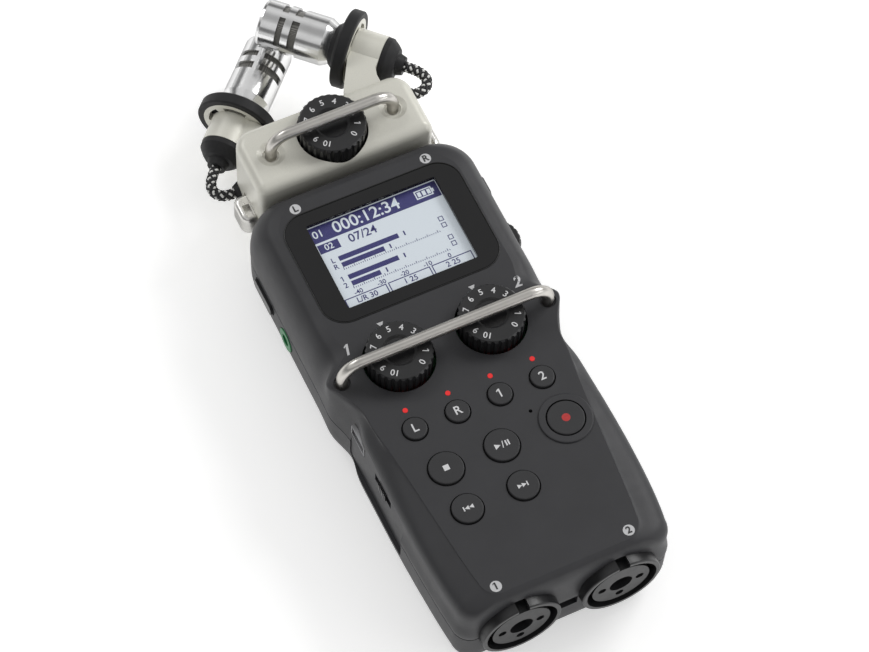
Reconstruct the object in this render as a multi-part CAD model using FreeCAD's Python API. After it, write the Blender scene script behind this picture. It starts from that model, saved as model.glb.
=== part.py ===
import FreeCAD, Part
import math
import os

# Handheld voice recorder with a detachable stereo microphone module.
# Millimetres. The recorder lies on its back: +Z is out of the front face, +Y runs towards
# the microphones and +X is to the user's right. The origin is the mouth of the tripod
# thread in the back face.

os.makedirs("parts", exist_ok=True)
V = FreeCAD.Vector

# ---------------------------------------------------------------- driving dimensions
# Case
CASE_WIDTH = 66.8            # over the sides at the display
CASE_DEPTH = 33.0            # back face to front face
PARTING_Z = 17.0             # front and rear shells meet here, at the widest level
CASE_TOP_Y = 44.8            # end that carries the microphone module
CASE_END_Y = -90.3           # end wall that carries the two combo jacks
WALL = 1.8                   # shell thickness
SEAM_GAP = 0.35              # shadow groove along the parting line
BACK_EDGE_INSET = 8.5        # how far the sides fall in between the parting line and the back

# Running and seating clearances
BUTTON_GAP = 0.35            # button cap to its hole
SEAT_GAP = 0.15              # seated piece to its pocket, each side
DOOR_GAP = 0.30              # doors and covers to their openings

# Display
WINDOW_WIDTH = 51.4
WINDOW_LENGTH = 35.2
WINDOW_Y = 17.1
WINDOW_THICK = 1.2
WINDOW_CORNER = 6.6
LCD_WIDTH = 38.0             # visible area
LCD_LENGTH = 27.3
LCD_Y = 17.05
LCD_MARGIN = 2.0             # frame of the panel round its visible area
LCD_THICK = 3.0

# Gain knobs
KNOB_R = 9.0
KNOB_X = 13.4
KNOB_Y = -16.0
KNOB_TOP_Z = 38.0
KNOB_RECESS_GAP = 0.8
KNOB_SINK = 2.0              # skirt below the front face
KNOB_FLUTES = 30
SHAFT_R = 3.0
SHAFT_GAP = 0.05

# Guard bar over the knobs
BAR_R = 1.6
BAR_FOOT_X = 30.0
BAR_Y = -16.3
BAR_TOP_Z = 42.1             # overall height of the recorder
BAR_BEND_R = 5.5
BAR_HOLE_R = 2.3
BAR_FOOT_DEPTH = 4.5         # foot below the front face

# Track buttons and their lamps, left to right
TRACK_R = 3.25
TRACK_PITCH = 12.27
TRACK_Y = -36.4
LAMP_R = 0.7
LAMP_RISE = 6.0              # lamp beyond its button, towards the display

# Transport keys: x, y, cap radius
RECORD_KEY = (18.6, -49.9, 5.0)
PLAY_KEY = (0.0, -50.1, 4.7)
STOP_KEY = (-16.0, -50.1, 4.7)
REWIND_KEY = (-16.0, -62.8, 4.2)
FORWARD_KEY = (0.0, -62.8, 4.2)
RECORD_RING_R = 7.3
RECORD_RING_RISE = 0.5
KEY_RISE = 0.7               # key tops above the front face
KEY_TRAVEL = 0.5
MIC_HOLE = (11.2, -44.1, 0.5)

# Combo jacks in the end wall
JACK_X = 14.3
JACK_Z = 18.5
JACK_FACE_Y = -93.0
BEZEL_R = 11.2
BEZEL_BORE_R = 10.0
JACK_BODY_LENGTH = 24.0
INSERT_R = 8.2
INSERT_SET_BACK = 0.6
PLUG_BORE_R = 3.25
PLUG_BORE_LENGTH = 15.0
XLR_PIN_CIRCLE_R = 5.4
XLR_PIN_BORE_R = 1.15
KEYWAY_WIDTH = 3.1
KEYWAY_LENGTH = 8.0

# Strap slot between the jacks
STRAP_WIDTH = 6.0
STRAP_HEIGHT = 3.4
STRAP_DEPTH = 5.0
STRAP_PIN_R = 0.9

# Small jacks in the sides
MINI_BORE_R = 1.8
MINI_BORE_LENGTH = 13.0
MINI_RING_R = 3.5
MINI_Z = 12.2
PHONES_Y = 12.0
LINE_OUT_Y = -6.0
MINI_PROUD = 0.3

# Left side panel, with the USB port and the power slider
PANEL_X = -31.2
PANEL_Y = (-58.0, -25.0)
PANEL_Z = (9.5, 28.0)
USB_Y = -29.0
USB_Z = 23.6
USB_WIDTH = 7.8
USB_HEIGHT = 3.9
USB_SKIN = 0.4
USB_LENGTH = 9.0
SLIDER_Y = -44.5
SLIDER_Z = 22.5
SLIDER_SLOT = (9.6, 3.4)
SLIDER_CAP = (4.6, 2.8)
SLIDER_TRAVEL = 2.0

# Volume rocker (left), menu key and scroll wheel (right)
ROCKER_Y = 26.0
ROCKER_Z = 13.5
ROCKER_SIZE = (11.0, 3.6)
ROCKER_PROUD = 0.8
ROCKER_PIVOT_DEPTH = 1.8     # pivot below the rocker's face
ROCKER_PIN_R = 0.5
MENU_Y = 28.5
MENU_Z = 20.5
MENU_SIZE = (6.0, 3.2)
MENU_PROUD = 0.9
WHEEL_R = 7.0
WHEEL_THICK = 4.0
WHEEL_Y = 10.0
WHEEL_Z = 22.5
WHEEL_PROUD = 1.5
AXLE_R = 1.0
AXLE_GAP = 0.05

# Memory card and its door, in the right side
CARD_SIZE = (15.0, 11.0, 1.0)
CARD_Y = -45.0
CARD_Z = 11.6
DOOR_Y = (-53.0, -37.0)
DOOR_Z = (8.6, 15.4)
DOOR_THICK = 1.2
DOOR_BARREL_R = 0.6
DOOR_SWING_GAP = 0.9         # below the barrel, for the open door

# Batteries and their cover
CELL_R = 7.15
CELL_LENGTH = 50.5
CELL_PITCH = 14.4
CELL_Y = -38.5
COVER_THICK = 1.6
BAY_WALL = 0.8
CONTACT_THICK = 0.4

# Main board
BOARD_Z = 19.0
BOARD_THICK = 1.4
BOARD_HALF_WIDTH = 27.0
BOARD_Y = (-66.0, 36.5)

# Speaker and tripod insert
SPEAKER_R = 10.0
SPEAKER_Y = 24.0
SPEAKER_DEPTH = 4.5
GRILLE_HOLE_R = 0.7
GRILLE_PITCH = 2.6
THREAD_R = 2.6
THREAD_LENGTH = 6.0
INSERT_WALL = 2.0

# Microphone module
MODULE_GAP = 0.3
MODULE_HALF_WIDTH = 26.0
MODULE_LENGTH = 20.5
MODULE_Z = (3.5, 33.3)
MODULE_SPLIT_Z = 8.0
MODULE_WALL = 1.6
MODULE_CORNER = 5.5          # at the microphones' end
MODULE_NEAR_CORNER = 2.0     # next to the recorder
MODULE_EDGE = 3.0
MODULE_BAR_FOOT_X = 18.2
MODULE_BAR_TOP_Z = 42.0
DIAL_R = 9.4
DIAL_TOP_Z = 37.3
LATCH_Y = (2.2, 11.0)        # from the module's inner end
LATCH_Z = (9.6, 17.2)
LATCH_PROUD = 4.1
LATCH_TRAVEL = 1.2
PLUG_SIZE = (24.0, 6.0, 8.0)
PLUG_Z = 16.0
SOCKET_SKIN = 1.2

# Microphones: their axes cross at right angles in plan
CROSS_Y = 98.45              # where the two axes cross
LEFT_MIC_Z = 11.6
RIGHT_MIC_Z = 26.7
CAN_R = 6.9
CAN_SKIN = 0.7
CAN_FRONT = -1.5             # distances along the axis, back from the crossing
CAN_SHOULDER = 17.5
CAN_TAIL = 19.9
CAN_TAIL_R = 5.6
SLOT_BANDS = ((4.2, 5.95), (8.0, 10.2))
SLOT_ARC = 74.0              # degrees of each slot; the rest are bridges
SLOTS_ROUND = 4
MESH_GAP = 0.2
MESH_SKIN = 0.3
RING_R = 11.25
RING_BORE_R = 9.4
RING_SPAN = (22.35, 25.85)
HUB_SPAN = (23.6, 25.8)
HUB_R = 7.9
BARREL_R = 6.7
BARREL_SPAN = (25.8, 34.2)
LEG_THICK = 11.0
BOOT_TIP = 40.5
CORD_R = 1.4
GLAND_Y = 60.3

# Routes of the two short microphone leads, from the boot's tip to the gland's tip (left side;
# the right side is its mirror image)
LEAD_ROUTE = (
    (28.64, 69.81),
    (30.50, 67.95),
    (32.05, 65.75),
    (32.60, 63.40),
    (31.60, 61.35),
    (29.60, 60.30),
    (27.20, 60.30),
)

# ---------------------------------------------------------------- values that follow
HALF_WIDTH = CASE_WIDTH / 2
FRONT_Z = CASE_DEPTH
INNER_FRONT_Z = CASE_DEPTH - WALL
KNOB_BOTTOM_Z = FRONT_Z - KNOB_SINK
BOARD_TOP_Z = BOARD_Z + BOARD_THICK
CELL_Z = COVER_THICK + 0.3 + CELL_R
MODULE_Y = CASE_TOP_Y + MODULE_GAP
MODULE_END_Y = MODULE_Y + MODULE_LENGTH
DIAL_Y = MODULE_Y + MODULE_LENGTH / 2
TRACK_XS = [TRACK_PITCH * (i - 1.5) for i in range(4)]


# ---------------------------------------------------------------- helpers
def box(x0, x1, y0, y1, z0, z1):
    return Part.makeBox(x1 - x0, y1 - y0, z1 - z0, V(x0, y0, z0))


def cyl_x(r, x0, x1, y, z):
    return Part.makeCylinder(r, abs(x1 - x0), V(min(x0, x1), y, z), V(1, 0, 0))


def cyl_y(r, y0, y1, x, z):
    return Part.makeCylinder(r, abs(y1 - y0), V(x, min(y0, y1), z), V(0, 1, 0))


def cyl_z(r, z0, z1, x, y):
    return Part.makeCylinder(r, abs(z1 - z0), V(x, y, min(z0, z1)), V(0, 0, 1))


def edges_along(shape, axis, keep=lambda centre: True):
    """Straight edges parallel to an axis whose middle point passes keep."""
    found = []
    for edge in shape.Edges:
        if len(edge.Vertexes) != 2:
            continue
        run = edge.Vertexes[1].Point - edge.Vertexes[0].Point
        if run.Length > 1e-6 and abs(abs(run.normalize().dot(axis)) - 1) < 1e-6:
            if keep(edge.CenterOfMass):
                found.append(edge)
    return found


def edges_at_z(shape, z):
    """Every edge that lies at one level."""
    near = 1e-4
    return [e for e in shape.Edges
            if abs(e.BoundBox.ZMin - z) < near and abs(e.BoundBox.ZMax - z) < near]


def rounded_box(x0, x1, y0, y1, z0, z1, corner):
    """A block whose four upright edges are rounded."""
    block = box(x0, x1, y0, y1, z0, z1)
    return block.makeFillet(corner, edges_along(block, V(0, 0, 1)))


def mirror_x(shape):
    return shape.mirror(V(0, 0, 0), V(1, 0, 0))


def fuse(shapes):
    joined = shapes[0]
    for shape in shapes[1:]:
        joined = joined.fuse(shape)
    return joined.removeSplitter()


def cut(shape, tools):
    for tool in tools:
        shape = shape.cut(tool)
    return shape


def save(node, *shapes):
    solids = [solid for shape in shapes for solid in shape.Solids]
    shape = solids[0] if len(solids) == 1 else Part.makeCompound(solids)
    shape.exportStep("parts/%s.step" % node)
    print("%-20s solids %d  volume %.1f mm3" % (node, len(solids), sum(s.Volume for s in solids)))


# ---------------------------------------------------------------- the case's outer form
# Each station is a place on the right side: half width there, y, half width of the flat front
# there, how the front corner is shaped, and how far the side leans in up to the front.
ROUND, FACET, SQUARE = "round", "facet", "square"
STATIONS = (
    (HALF_WIDTH - 2.7, CASE_END_Y + 6.5, 22.6, FACET, 0.9),
    (HALF_WIDTH - 1.6, -70.0, 24.1, FACET, 0.5),
    (HALF_WIDTH - 1.0, -53.0, 25.7, FACET, 1.1),
    (HALF_WIDTH - 0.9, -39.0, 27.2, FACET, 1.9),
    (HALF_WIDTH - 1.1, -31.0, 28.2, FACET, 2.4),
    (HALF_WIDTH - 1.9, -25.0, 28.8, SQUARE, 2.2),
    (HALF_WIDTH - 0.2, -18.5, 32.0, SQUARE, 0.8),
    (HALF_WIDTH + 0.2, -14.0, 32.6, SQUARE, 0.0),
    (HALF_WIDTH, -9.0, 26.0, ROUND, 0.0),
    (HALF_WIDTH, -3.0, 26.3, ROUND, 0.0),
    (HALF_WIDTH, 6.0, 26.4, ROUND, 0.0),
    (HALF_WIDTH, 18.0, 26.5, ROUND, 0.0),
    (HALF_WIDTH, 31.0, 26.5, ROUND, 0.0),
)
FACET_DROP = 1.7             # the side facets fall this far below the flat front
FACET_CORNER_INSET = 1.6
FACET_CORNER_R = 3.6
SQUARE_CORNER_R = 1.6
TOP_EDGE_DEPTH = 5.9         # front corner of the display end, measured along y
END_EDGE_DEPTH = 2.7         # front corner of the jack end
END_EDGE_HEIGHT = 5.0
TOP_CORNER_R = (12.0, 9.5)   # plan corners of the display end, at the parting line and in front
END_CORNER_R = 4.8
END_SLOPE = 5.5              # how far the jack end falls in towards the back
TOP_SLOPE = 1.2


def corner_curve(v):
    """Inset of a quarter ellipse, 0 to 1, as v goes from 0 to 1."""
    v = min(max(v, 0.0), 1.0)
    return 1 - math.sqrt(1 - v * v)


def round_curve(v):
    """Inset of the display's full side rounding, which turns in late."""
    v = min(max(v, 0.0), 1.0)
    return 1 - math.sqrt(1 - v ** 3)


def front_share(z):
    return (z - PARTING_Z) / (FRONT_Z - PARTING_Z)


def back_share(z):
    return max(0.0, 1 - z / PARTING_Z) ** 6


def half_width_at(station, z):
    full, _, front, kind, lean = station
    if z <= PARTING_Z:
        return full - BACK_EDGE_INSET * back_share(z)
    full -= lean * front_share(z)
    depth = full - front
    if kind == ROUND:
        return full - depth * round_curve(front_share(z))
    if kind == SQUARE:
        return full - depth * corner_curve((z - FRONT_Z + SQUARE_CORNER_R) / SQUARE_CORNER_R)
    facet_z = FRONT_Z - FACET_DROP
    if z <= facet_z:
        return full - FACET_CORNER_INSET * corner_curve((z - facet_z + FACET_CORNER_R) / FACET_CORNER_R)
    share = (z - facet_z) / FACET_DROP
    return full - FACET_CORNER_INSET - (depth - FACET_CORNER_INSET) * share


def top_y_at(z):
    if z <= PARTING_Z:
        return CASE_TOP_Y - TOP_SLOPE * back_share(z)
    return CASE_TOP_Y - TOP_EDGE_DEPTH * corner_curve(front_share(z))


def end_y_at(z):
    if z <= PARTING_Z:
        return CASE_END_Y + END_SLOPE * back_share(z)
    return CASE_END_Y + END_EDGE_DEPTH * corner_curve((z - FRONT_Z + END_EDGE_HEIGHT) / END_EDGE_HEIGHT)


def bezier(*points):
    curve = Part.BezierCurve()
    curve.setPoles(list(points))
    return curve.toShape()


def corner(a, b, c):
    """A quarter-round Bezier from a to c with its square corner at b."""
    k = 0.5523
    return bezier(a, a + (b - a) * k, c + (b - c) * k, c)


def outline(z, inset):
    """The case's closed plan outline at one level, drawn in by an even inset."""
    share = max(0.0, front_share(z))
    top_r = TOP_CORNER_R[0] + (TOP_CORNER_R[1] - TOP_CORNER_R[0]) * share
    points = [V(half_width_at(s, z) - inset, s[1], z) for s in STATIONS]
    points[0].y = end_y_at(z) + END_CORNER_R + 0.5
    end_y = end_y_at(z) + inset
    top_y = top_y_at(z) - inset
    points[-1].y = top_y_at(z) - top_r
    right = Part.BSplineCurve()
    right.interpolate(points, Parameters=[float(i) for i in range(len(points))])
    first, last = points[0], points[-1]
    end_x = first.x - END_CORNER_R
    top_x = last.x - top_r + inset * 0.5
    half = [
        Part.LineSegment(V(0, end_y, z), V(end_x, end_y, z)).toShape(),
        corner(V(end_x, end_y, z), V(first.x, end_y, z), first),
        right.toShape(),
        corner(last, V(last.x, top_y, z), V(top_x, top_y, z)),
        Part.LineSegment(V(top_x, top_y, z), V(0, top_y, z)).toShape(),
    ]
    other = [mirror_x(edge) for edge in half]
    return Part.Wire(Part.__sortEdges__(half + other))


FRONT_LEVELS = (0.0, 0.3, 0.6, 0.8, 0.9, 0.96, 1.0)
BACK_LEVELS = (0.0, 0.08, 0.2, 0.35, 0.55, 0.75, 1.0)


def skin(levels, z_low, z_high, inset, grow=0.0):
    """A loft through the outlines between two levels; inset draws it in all round."""
    wires = []
    for level in levels:
        z_outer = z_low + (z_high - z_low) * level
        wire = outline(z_outer, inset)
        if grow:
            wire.translate(V(0, 0, grow * level if grow < 0 else grow * (1 - level)))
        wires.append(wire)
    return Part.makeLoft(wires, True, False)


def shell_blank(front, inset):
    """One half of the case as a full body; inset > 0 gives the cavity inside that wall."""
    if front:
        return skin(FRONT_LEVELS, PARTING_Z, FRONT_Z, inset, -inset)
    return skin(BACK_LEVELS, 0.0, PARTING_Z, inset, inset)


front_outer = shell_blank(True, 0.0)
rear_outer = shell_blank(False, 0.0)
front_case = front_outer.cut(shell_blank(True, WALL))
rear_case = rear_outer.cut(shell_blank(False, WALL))

# Shadow groove along the parting line, in the rear shell
groove_slab = box(-60, 60, -120, 80, PARTING_Z - SEAM_GAP, PARTING_Z)
rear_case = rear_case.cut(rear_outer.cut(shell_blank(False, SEAM_GAP)).common(groove_slab))


# ---------------------------------------------------------------- display
def plate(width, length, y, z0, z1, corner_r):
    return rounded_box(-width / 2, width / 2, y - length / 2, y + length / 2, z0, z1, corner_r)


window_z = FRONT_Z - WINDOW_THICK
display_window = plate(WINDOW_WIDTH, WINDOW_LENGTH, WINDOW_Y, window_z, FRONT_Z + 0.05, WINDOW_CORNER)
window_pocket = plate(WINDOW_WIDTH + 2 * SEAT_GAP, WINDOW_LENGTH + 2 * SEAT_GAP, WINDOW_Y,
                      window_z, FRONT_Z + 2, WINDOW_CORNER + SEAT_GAP)
sight_hole = plate(LCD_WIDTH + 1.0, LCD_LENGTH + 1.0, LCD_Y, INNER_FRONT_Z - 2, FRONT_Z, 1.0)
front_case = cut(front_case, [window_pocket, sight_hole])

lcd_top_z = INNER_FRONT_Z - 0.1
panel_width = LCD_WIDTH + 2 * LCD_MARGIN
panel_length = LCD_LENGTH + 2 * LCD_MARGIN
lcd_panel = box(-panel_width / 2, panel_width / 2, LCD_Y - panel_length / 2, LCD_Y + panel_length / 2,
                lcd_top_z - LCD_THICK, lcd_top_z)
lcd_legs = [box(x - 1, x + 1, LCD_Y - 12, LCD_Y + 12, BOARD_TOP_Z, lcd_top_z - LCD_THICK)
            for x in (-LCD_WIDTH / 2, LCD_WIDTH / 2)]
lcd_panel = fuse([lcd_panel] + lcd_legs)


# ---------------------------------------------------------------- gain knobs, pots, dial
def knob(radius, bottom_z, top_z, x, y):
    """A fluted knob with a shallow dished top and a blind bore for its shaft."""
    body = cyl_z(radius, bottom_z, top_z, x, y)
    body = body.makeChamfer(0.5, edges_at_z(body, top_z))
    dish_r = radius * 0.52
    dish = Part.makeCone(dish_r - 0.7, dish_r, 0.5, V(x, y, top_z - 0.5), V(0, 0, 1))
    bore = cyl_z(SHAFT_R + SHAFT_GAP, bottom_z, top_z - 1.5, x, y)
    flute_r = 0.62
    flutes = []
    for i in range(KNOB_FLUTES):
        angle = 2 * math.pi * (i + 0.5) / KNOB_FLUTES
        reach = radius + flute_r * 0.35
        flutes.append(cyl_z(flute_r, bottom_z, top_z,
                            x + reach * math.cos(angle), y + reach * math.sin(angle)))
    return cut(body, [dish, bore, Part.makeCompound(flutes)])


def pot(bottom_z, knob_top_z, x, y):
    """A potentiometer: square body, threaded neck and plain shaft."""
    body = box(x - 5.5, x + 5.5, y - 5.5, y + 5.5, bottom_z, bottom_z + 6.0)
    neck = cyl_z(SHAFT_R + 0.9, bottom_z + 6.0, bottom_z + 8.0, x, y)
    shaft = cyl_z(SHAFT_R, bottom_z + 8.0, knob_top_z - 1.5 - SHAFT_GAP, x, y)
    return fuse([body, neck, shaft])


gain_knobs = [knob(KNOB_R, KNOB_BOTTOM_Z, KNOB_TOP_Z, x, KNOB_Y) for x in (-KNOB_X, KNOB_X)]
gain_pots = [pot(BOARD_TOP_Z, KNOB_TOP_Z, x, KNOB_Y) for x in (-KNOB_X, KNOB_X)]
for x in (-KNOB_X, KNOB_X):
    front_case = front_case.cut(cyl_z(KNOB_R + KNOB_RECESS_GAP, INNER_FRONT_Z - 3, FRONT_Z + 2, x, KNOB_Y))


# ---------------------------------------------------------------- guard bars
def bent_bar(foot_x, y, foot_z, top_z):
    """A round bar with two feet, bent over from one to the other."""
    axis_z = top_z - BAR_R
    bend = BAR_BEND_R
    start = V(-foot_x, y, foot_z)
    a = V(-foot_x, y, axis_z - bend)
    b = V(-foot_x + bend, y, axis_z)
    middle_a = V(-foot_x + bend * (1 - math.sqrt(0.5)), y, axis_z - bend * (1 - math.sqrt(0.5)))
    mirror = [V(-p.x, p.y, p.z) for p in (start, a, b, middle_a)]
    path = Part.Wire([
        Part.LineSegment(start, a).toShape(),
        Part.Arc(a, middle_a, b).toShape(),
        Part.LineSegment(b, mirror[2]).toShape(),
        Part.Arc(mirror[2], mirror[3], mirror[1]).toShape(),
        Part.LineSegment(mirror[1], mirror[0]).toShape(),
    ])
    ring = Part.Wire(Part.Circle(start, V(0, 0, 1), BAR_R).toShape())
    return path.makePipeShell([ring], True, False)


guard_bar = bent_bar(BAR_FOOT_X, BAR_Y, FRONT_Z - BAR_FOOT_DEPTH, BAR_TOP_Z)
for x in (-BAR_FOOT_X, BAR_FOOT_X):
    boss = cyl_z(BAR_R + 1.2, FRONT_Z - BAR_FOOT_DEPTH - 1.2, INNER_FRONT_Z, x, BAR_Y)
    boss = boss.common(front_outer)
    front_case = front_case.fuse(boss)
    front_case = front_case.cut(cyl_z(BAR_HOLE_R, FRONT_Z - 1.0, FRONT_Z + 2, x, BAR_Y))
    front_case = front_case.cut(cyl_z(BAR_R, FRONT_Z - BAR_FOOT_DEPTH, FRONT_Z, x, BAR_Y))


# ---------------------------------------------------------------- keys, pad and lamps
CAP_BOTTOM_Z = FRONT_Z - 6.0
PAD_TOP_Z = CAP_BOTTOM_Z - KEY_TRAVEL - 0.15
FLANGE = 0.8                 # flange that keeps a cap in its hole


def key_cap(x, y, radius):
    """A round cap with a slightly domed top and a flange under the case."""
    top_z = FRONT_Z + KEY_RISE
    stem = cyl_z(radius, CAP_BOTTOM_Z, top_z, x, y)
    stem = stem.makeFillet(0.35, edges_at_z(stem, top_z))
    flange_z = INNER_FRONT_Z - 0.3
    return stem.fuse(cyl_z(radius + FLANGE, CAP_BOTTOM_Z, flange_z, x, y)).removeSplitter()


track_keys = [key_cap(x, TRACK_Y, TRACK_R) for x in TRACK_XS]
transport = {
    "button_record": RECORD_KEY,
    "button_play": PLAY_KEY,
    "button_stop": STOP_KEY,
    "button_rewind": REWIND_KEY,
    "button_forward": FORWARD_KEY,
}
transport_keys = {name: key_cap(*key) for name, key in transport.items()}
key_places = [(x, TRACK_Y, TRACK_R) for x in TRACK_XS] + list(transport.values())

record_x, record_y, record_r = RECORD_KEY
ring = cyl_z(RECORD_RING_R, INNER_FRONT_Z + 0.5, FRONT_Z + RECORD_RING_RISE, record_x, record_y)
ring = ring.makeFillet(0.4, edges_at_z(ring, FRONT_Z + RECORD_RING_RISE))
front_case = front_case.fuse(ring)
for x, y, radius in key_places:
    front_case = front_case.cut(cyl_z(radius + BUTTON_GAP, INNER_FRONT_Z - 1, FRONT_Z + 3, x, y))

lamps = []
lamp_y = TRACK_Y + LAMP_RISE
for x in TRACK_XS:
    front_case = front_case.cut(cyl_z(LAMP_R + 0.05, INNER_FRONT_Z - 1, FRONT_Z + 1, x, lamp_y))
    pipe = cyl_z(LAMP_R, BOARD_TOP_Z + 0.8, FRONT_Z + 0.1, x, lamp_y)
    chip = box(x - 0.8, x + 0.8, lamp_y - 1.2, lamp_y + 1.2, BOARD_TOP_Z, BOARD_TOP_Z + 0.8)
    lamps.append(fuse([pipe, chip]))
hole_x, hole_y, hole_r = MIC_HOLE
front_case = front_case.cut(cyl_z(hole_r, INNER_FRONT_Z - 1, FRONT_Z + 1, hole_x, hole_y))

button_pad = box(-21.5, 21.5, -68.0, TRACK_Y + 4.2, PAD_TOP_Z - 1.2, PAD_TOP_Z)
pad_posts = [cyl_z(1.2, BOARD_TOP_Z, PAD_TOP_Z - 1.2, x, y) for x, y, radius in key_places
             if y > BOARD_Y[0] + 2]
button_pad = fuse([button_pad] + pad_posts)


# ---------------------------------------------------------------- combo jacks
def jack_shell(x):
    """Bezel tube and closed housing of one combo jack, with its keyway at the top."""
    back_y = JACK_FACE_Y + JACK_BODY_LENGTH
    shell = cyl_y(BEZEL_R, JACK_FACE_Y, back_y, x, JACK_Z)
    rim = [e for e in shell.Edges if e.BoundBox.YMax < JACK_FACE_Y + 0.01]
    shell = shell.makeFillet(0.4, rim)
    bore = cyl_y(BEZEL_BORE_R, JACK_FACE_Y - 1, back_y - 4.0, x, JACK_Z)
    half = KEYWAY_WIDTH / 2
    keyway = box(x - half, x + half, JACK_FACE_Y - 1, JACK_FACE_Y + KEYWAY_LENGTH,
                 JACK_Z + INSERT_R + 0.5, JACK_Z + BEZEL_R + 1)
    return cut(shell, [bore, keyway])


def jack_insert(x):
    """Round core of one combo jack: central plug bore and three pin bores."""
    face_y = JACK_FACE_Y + INSERT_SET_BACK
    back_y = JACK_FACE_Y + JACK_BODY_LENGTH - 4.0
    core = cyl_y(INSERT_R, face_y, back_y, x, JACK_Z)
    tools = [cyl_y(PLUG_BORE_R, face_y - 1, face_y + PLUG_BORE_LENGTH, x, JACK_Z)]
    for degrees in (0, 180, 270):
        angle = math.radians(degrees)
        pin_x = x + XLR_PIN_CIRCLE_R * math.cos(angle)
        pin_z = JACK_Z + XLR_PIN_CIRCLE_R * math.sin(angle)
        tools.append(cyl_y(XLR_PIN_BORE_R, face_y - 1, face_y + PLUG_BORE_LENGTH, pin_x, pin_z))
    return cut(core, tools)


jack_xs = (-JACK_X, JACK_X)
jack_shells = [jack_shell(x) for x in jack_xs]
jack_inserts = [jack_insert(x) for x in jack_xs]
jack_holes = [cyl_y(BEZEL_R + 0.05, CASE_END_Y - 5, CASE_END_Y + 12, x, JACK_Z) for x in jack_xs]
front_case = cut(front_case, jack_holes)
rear_case = cut(rear_case, jack_holes)

# Strap slot with its pin, a pocket with its own walls in the end wall
strap_z = PARTING_Z - STRAP_HEIGHT / 2 - SEAM_GAP
pocket = box(-STRAP_WIDTH / 2, STRAP_WIDTH / 2, CASE_END_Y - 5, CASE_END_Y + STRAP_DEPTH,
             strap_z - STRAP_HEIGHT / 2, strap_z + STRAP_HEIGHT / 2)
pocket_block = box(-JACK_X + BEZEL_R + 0.1, JACK_X - BEZEL_R - 0.1,
                   CASE_END_Y + 1, CASE_END_Y + STRAP_DEPTH + 1,
                   strap_z - STRAP_HEIGHT / 2 - 1.5, PARTING_Z - SEAM_GAP)
strap_pin = cyl_z(STRAP_PIN_R, strap_z - STRAP_HEIGHT / 2 - 0.5, strap_z + STRAP_HEIGHT / 2,
                  0, CASE_END_Y + 2.2)
rear_case = rear_case.fuse(pocket_block).cut(pocket).fuse(strap_pin)


# ---------------------------------------------------------------- side jacks and ports
def mini_jack(side, y):
    """A 3.5 mm jack behind the side wall; side is -1 for left, 1 for right."""
    face_x = side * (half_width_at(STATIONS[-1], MINI_Z) + MINI_PROUD)
    back_x = face_x - side * (MINI_BORE_LENGTH + 1.5)
    ring_tube = cyl_x(MINI_RING_R, face_x, face_x - side * 4.0, y, MINI_Z)
    x0, x1 = sorted((face_x - side * 4.0, back_x))
    body = box(x0, x1, y - 3.3, y + 3.3, MINI_Z - 3.0, MINI_Z + 3.0)
    bore = cyl_x(MINI_BORE_R, face_x + side, face_x - side * MINI_BORE_LENGTH, y, MINI_Z)
    return ring_tube.fuse(body).cut(bore)


phones_jack = mini_jack(-1, PHONES_Y)
line_out_jack = mini_jack(1, LINE_OUT_Y)
rear_case = rear_case.cut(cyl_x(MINI_RING_R + SEAT_GAP, -40, -28, PHONES_Y, MINI_Z))
rear_case = rear_case.cut(cyl_x(MINI_RING_R + SEAT_GAP, 28, 40, LINE_OUT_Y, MINI_Z))

# Recessed panel in the left side: its floor is a wall of its own
panel_cut = box(-60, PANEL_X, PANEL_Y[0], PANEL_Y[1], PANEL_Z[0], PANEL_Z[1])
panel_cut = panel_cut.makeFillet(1.5, edges_along(panel_cut, V(1, 0, 0)))
panel_floor = box(PANEL_X, PANEL_X + WALL, PANEL_Y[0] - 1, PANEL_Y[1] + 1, PANEL_Z[0] - 1, PANEL_Z[1] + 1)
floor_front = panel_floor.common(front_outer)
floor_rear = panel_floor.common(rear_outer)
front_case = front_case.fuse(floor_front).cut(panel_cut)
rear_case = rear_case.fuse(floor_rear).cut(panel_cut)

usb_face_x = PANEL_X - 0.1
usb_port = box(usb_face_x, usb_face_x + USB_LENGTH, USB_Y - USB_WIDTH / 2, USB_Y + USB_WIDTH / 2,
               USB_Z - USB_HEIGHT / 2, USB_Z + USB_HEIGHT / 2)
usb_cavity = box(usb_face_x - 1, usb_face_x + USB_LENGTH - 1, USB_Y - USB_WIDTH / 2 + USB_SKIN,
                 USB_Y + USB_WIDTH / 2 - USB_SKIN, USB_Z - USB_HEIGHT / 2 + USB_SKIN,
                 USB_Z + USB_HEIGHT / 2 - USB_SKIN)
usb_tongue = box(usb_face_x + 1.5, usb_face_x + USB_LENGTH - 1, USB_Y - 2.6, USB_Y + 2.6,
                 USB_Z - 0.4, USB_Z + 0.5)
usb_foot = box(usb_face_x + 3, usb_face_x + USB_LENGTH, USB_Y - 3, USB_Y + 3,
               BOARD_TOP_Z, USB_Z - USB_HEIGHT / 2)
usb_port = usb_port.cut(usb_cavity).fuse(usb_tongue).fuse(usb_foot)
usb_hole = box(-45, PANEL_X + 3, USB_Y - USB_WIDTH / 2 - SEAT_GAP, USB_Y + USB_WIDTH / 2 + SEAT_GAP,
               USB_Z - USB_HEIGHT / 2 - SEAT_GAP, USB_Z + USB_HEIGHT / 2 + SEAT_GAP)
front_case = front_case.cut(usb_hole)

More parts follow.
